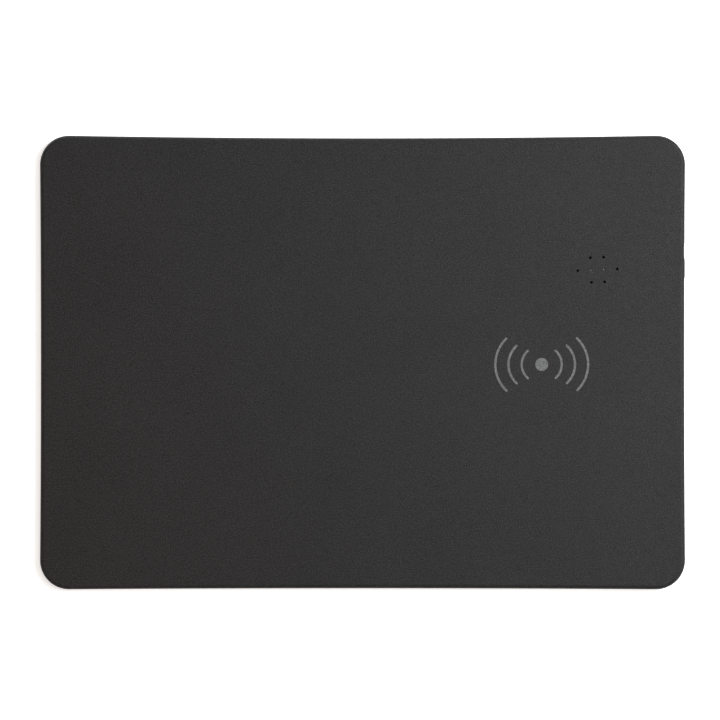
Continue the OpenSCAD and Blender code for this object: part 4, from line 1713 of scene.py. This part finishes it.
@dataclass
class LitzCoil:
    """The charging coil, wound from stranded wire, with its lead up to the board and its lead below."""

    wire: float = 1.0 * MM
    diameter: float = 44.4 * MM
    hole: float = 19.6 * MM
    turn_gap: float = 0.15 * MM
    lead_angle: float = 60.0
    tail_radius: float = 3.5 * MM
    lead_gap: float = 0.6 * MM
    lead_on_board: float = 3.0 * MM
    ferrite_side: float = 50.0 * MM
    curl_end: float = 0.82
    drop_start: float = 0.72
    steps: int = 56
    sides: int = 10

    def __post_init__(self) -> None:
        """Reads the spot from the record and the heights from the nodes."""
        self.spot = mount_place("charging_spot")
        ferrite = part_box("ferrite_plate")
        self.coil_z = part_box("coil_adhesive")[1].z + self.wire / 2
        self.lead_z = ferrite[1].z - 0.1 * MM - self.wire / 2
        self.pad_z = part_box("circuit_board")[1].z + self.wire / 2
        self.ferrite_far = ferrite[1].y
        self.board_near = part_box("circuit_board")[0].y

    def around(self, radius: float, angle: float, z: float) -> Vector:
        """A point at a radius and an angle round the spot."""
        return Vector((self.spot.x + radius * math.cos(angle), self.spot.y + radius * math.sin(angle), z))

    def route(self) -> list[Vector]:
        """The wire's middle line, from the board, round the coil, and back under it.

        Returns:
            Its points, in metres.
        """
        spot = self.spot
        outer = (self.diameter - self.wire) / 2
        room = (self.diameter - self.hole) / 2 - self.wire
        turns = math.floor(room / (self.wire + self.turn_gap) - 0.75) + 0.75
        pitch = room / turns
        x = spot.x + outer
        points = [Vector((x, self.board_near + self.lead_on_board, self.pad_z)),
                  Vector((x, self.board_near - self.lead_gap, self.pad_z)),
                  Vector((x, self.ferrite_far + self.lead_gap, self.coil_z)),
                  Vector((x, spot.y + 12 * MM, self.coil_z))]
        for i in range(round(self.steps * turns) + 1):
            t = i / self.steps
            points.append(self.around(outer - pitch * t, -2 * math.pi * t, self.coil_z))
        inner, sweep, count = outer - room, 90 - (self.lead_angle + 90 - 360), 40
        for i in range(1, count + 1):
            f = i / count
            angle = math.radians(90 - sweep * f)
            radius = inner + (self.tail_radius - inner) * min(1.0, f / self.curl_end)
            drop = max(0.0, (f - self.drop_start) / (1 - self.drop_start))
            z = self.coil_z + (self.lead_z - self.coil_z) * (1 - math.cos(math.pi * drop)) / 2
            points.append(self.around(radius, angle, z))
        heading = math.radians(self.lead_angle)
        start = Vector((self.tail_radius * math.cos(heading + math.pi / 2),
                        self.tail_radius * math.sin(heading + math.pi / 2), 0))
        channel = (self.ferrite_side / 2 - start.y) / math.sin(heading)
        meet = (self.board_near - spot.y - start.y) / math.sin(heading)
        for reach, z in ((6 * MM, self.lead_z), (15 * MM, self.lead_z), (channel + self.lead_gap, self.lead_z),
                         (meet - self.lead_gap, self.pad_z), (meet + self.lead_on_board, self.pad_z)):
            points.append(Vector((spot.x + start.x + reach * math.cos(heading),
                                  spot.y + start.y + reach * math.sin(heading), z)))
        return points

    def build(self) -> bpy.types.Object:
        """Sweeps the wire along its route, with a map that runs along it.

        Returns:
            The finished piece.
        """
        route = self.route()
        bench = Bench.disc("litz_wire", self.wire / 2, (0, 0, 0), self.sides)
        wire = bench.close(face_out=False)
        mesh = bmesh.new()
        maps = mesh.loops.layers.uv.new("wire")
        rings, travelled = [], [0.0]
        for i, point in enumerate(route):
            ahead = (route[min(i + 1, len(route) - 1)] - route[max(i - 1, 0)]).normalized()
            side = Vector((0, 0, 1)).cross(ahead).normalized()
            up = ahead.cross(side)
            if i:
                travelled.append(travelled[-1] + (point - route[i - 1]).length)
            rings.append([mesh.verts.new(point + self.wire / 2 * (math.cos(a) * side + math.sin(a) * up))
                          for a in (2 * math.pi * k / self.sides for k in range(self.sides))])
        for i in range(len(rings) - 1):
            for k in range(self.sides):
                after = (k + 1) % self.sides
                face = mesh.faces.new((rings[i][k], rings[i][after], rings[i + 1][after], rings[i + 1][k]))
                for loop, (ring, spoke) in zip(face.loops, ((i, k), (i, k + 1), (i + 1, k + 1), (i + 1, k))):
                    loop[maps].uv = (travelled[ring] / self.wire, spoke / self.sides)
        mesh.faces.new(list(reversed(rings[0])))
        mesh.faces.new(rings[-1])
        bmesh.ops.recalc_face_normals(mesh, faces=mesh.faces)
        mesh.to_mesh(wire.data)
        mesh.free()
        dress(wire, WARDROBE.get(COPPER), 60)
        return hand_over(wire, "enamelled_copper", "charging_coil")


@dataclass
class ChargerModule:
    """The charger inside the board: fine parts where they show, finishes on the nodes that stay."""

    kept: tuple[tuple[str, Finish], ...] = (
        ("core_board", BOARD), ("module_tray", MODULE_PLASTIC), ("module_cover", MODULE_PLASTIC),
        ("dust_gauze", SHADE_BLACK_GAUZE),
        ("ferrite_adhesive", ADHESIVE), ("coil_adhesive", ADHESIVE), ("ferrite_plate", FERRITE),
        ("lead_sleeves", SLEEVE), ("temperature_sensor", SENSOR_EPOXY), ("circuit_board", LACQUER),
        ("thermal_pad", THERMAL_SILICONE), ("status_leds", RESIN), ("light_pipes", SHADE_DARK_PIPE))

    def build(self) -> None:
        """Dresses the nodes that stay and makes the fine parts."""
        for node, finish in self.kept:
            WARDROBE.dress_node(node, finish)
        LitzCoil().build()
        for chip in ("controller_chip", "power_chip"):
            FlatChip(chip).build()
        Inductor().build()
        for parts in (ChipParts("resonance_capacitors", "capacitor_ceramic", CAPACITOR, along_y=True),
                      ChipParts("input_capacitors", "capacitor_ceramic", CAPACITOR, along_y=True),
                      ChipParts("chip_capacitors", "capacitor_ceramic", CAPACITOR),
                      ChipParts("chip_resistors", "resistor_ceramic", RESISTOR),
                      ChipParts("shunt_resistor", "resistor_ceramic", RESISTOR)):
            parts.build()


# ---------------------------------------------------------------- studio


@dataclass(frozen=True)
class Lamp:
    """One soft rectangular lamp that looks at a point."""

    name: str
    place: tuple[float, float, float]
    aim: tuple[float, float, float]
    size: tuple[float, float]
    power: float
    tint: Colour = (1.0, 1.0, 1.0)

    def hang(self) -> None:
        """Adds the lamp to the studio."""
        data = bpy.data.lights.new(self.name, "AREA")
        data.shape = "RECTANGLE"
        data.size, data.size_y = self.size
        data.energy, data.color = self.power, self.tint
        lamp = bpy.data.objects.new(self.name, data)
        lamp.location = self.place
        lamp.rotation_euler = (Vector(self.aim) - Vector(self.place)).to_track_quat("-Z", "Y").to_euler()
        bpy.context.scene.collection.objects.link(lamp)


@dataclass
class Studio:
    """A pale floor, soft lamps and a long lens looking straight down."""

    width: float = 334.35 * MM
    aim: Place = (-1.19 * MM, 1.16 * MM)
    lens: float = 150.0
    sensor: float = 36.0
    floor_side: float = 6.0
    floor_glow: float = 0.6
    sky: float = 0.11
    lamps: tuple[Lamp, ...] = (
        Lamp("right_high", (0.62, 0.12, 1.15), (0.15, 0.0, 0.0), (0.45, 0.9), 7.7, (0.96, 0.975, 1.0)),
        Lamp("far_right", (0.85, 0.35, 1.0), (0.15, 0.0, 0.0), (0.5, 0.7), 16.0, (0.98, 0.985, 1.0)),
        Lamp("far_low", (-0.2, 1.5, 0.42), (0.0, 0.1, 0.0), (1.6, 0.4), 7.5, (0.98, 0.985, 1.0)),
        Lamp("near_warm", (-0.5, -0.9, 1.3), (-0.1, 0.0, 0.0), (1.2, 0.7), 1.6, (1.0, 0.78, 0.55)),
        Lamp("left_warm", (-0.75, -0.2, 0.8), (-0.15, 0.0, 0.0), (0.4, 0.8), 1.2, (1.0, 0.58, 0.3)),
    )

    def build_floor(self) -> None:
        """A large pale sheet that the pad lies on, with a faint paper texture."""
        bench = Bench("studio_floor", (self.floor_side, self.floor_side, 1), (0, 0, -0.0002), flat=True)
        bench.pick_all()
        bpy.ops.mesh.subdivide(number_cuts=3)
        floor = bench.close()
        recipe = Recipe("pale_floor", 0.9, specular=0.1)
        recipe.colour(recipe.ramp(recipe.noise(0.4, 2.0), (0.3, 0.86), (0.7, 0.88)))
        recipe.shader.inputs["Emission Color"].default_value = (1, 1, 1, 1)
        recipe.shader.inputs["Emission Strength"].default_value = self.floor_glow
        floor.data.materials.append(recipe.material)

    def build_sky(self) -> None:
        """A dim even light from all round."""
        world = bpy.data.worlds.new("studio")
        world.use_nodes = True
        background = next(n for n in world.node_tree.nodes if n.type == "BACKGROUND")
        background.inputs["Color"].default_value = (1, 1, 1, 1)
        background.inputs["Strength"].default_value = self.sky
        bpy.context.scene.world = world

    def build_camera(self, face: float) -> None:
        """A camera over the pad, at the distance from which its lens takes in the studio's width.

        Args:
            face: height of the pad's face.
        """
        data = bpy.data.cameras.new("camera")
        data.lens, data.sensor_width = self.lens, self.sensor
        distance = self.width / 2 / (self.sensor / 2 / self.lens)
        data.clip_start, data.clip_end = 0.05, 20.0
        camera = bpy.data.objects.new("camera", data)
        camera.location = (*self.aim, face + distance)
        bpy.context.scene.collection.objects.link(camera)
        bpy.context.scene.camera = camera

    def build(self, face: float) -> None:
        """Sets up the floor, the light and the camera.

        Args:
            face: height of the pad's face.
        """
        self.build_floor()
        self.build_sky()
        for lamp in self.lamps:
            lamp.hang()
        self.build_camera(face)
        bpy.context.scene.view_settings.view_transform = "Standard"


def main() -> None:
    """Builds the pad from the outside inwards, and the studio round it."""
    logging.basicConfig(level=logging.INFO, format="%(name)s: %(message)s")
    _, size = node_size("leather_cover")
    plan = PadPlan(size.x, size.y)
    cover = LeatherCover(plan, VentPattern())
    cover.build()
    PrintedMark().build()
    BaseSheet(plan).build()
    PowerSocket(plan).build()
    ChargerModule().build()
    Studio().build(cover.face)


if __name__ == "__main__":
    main()
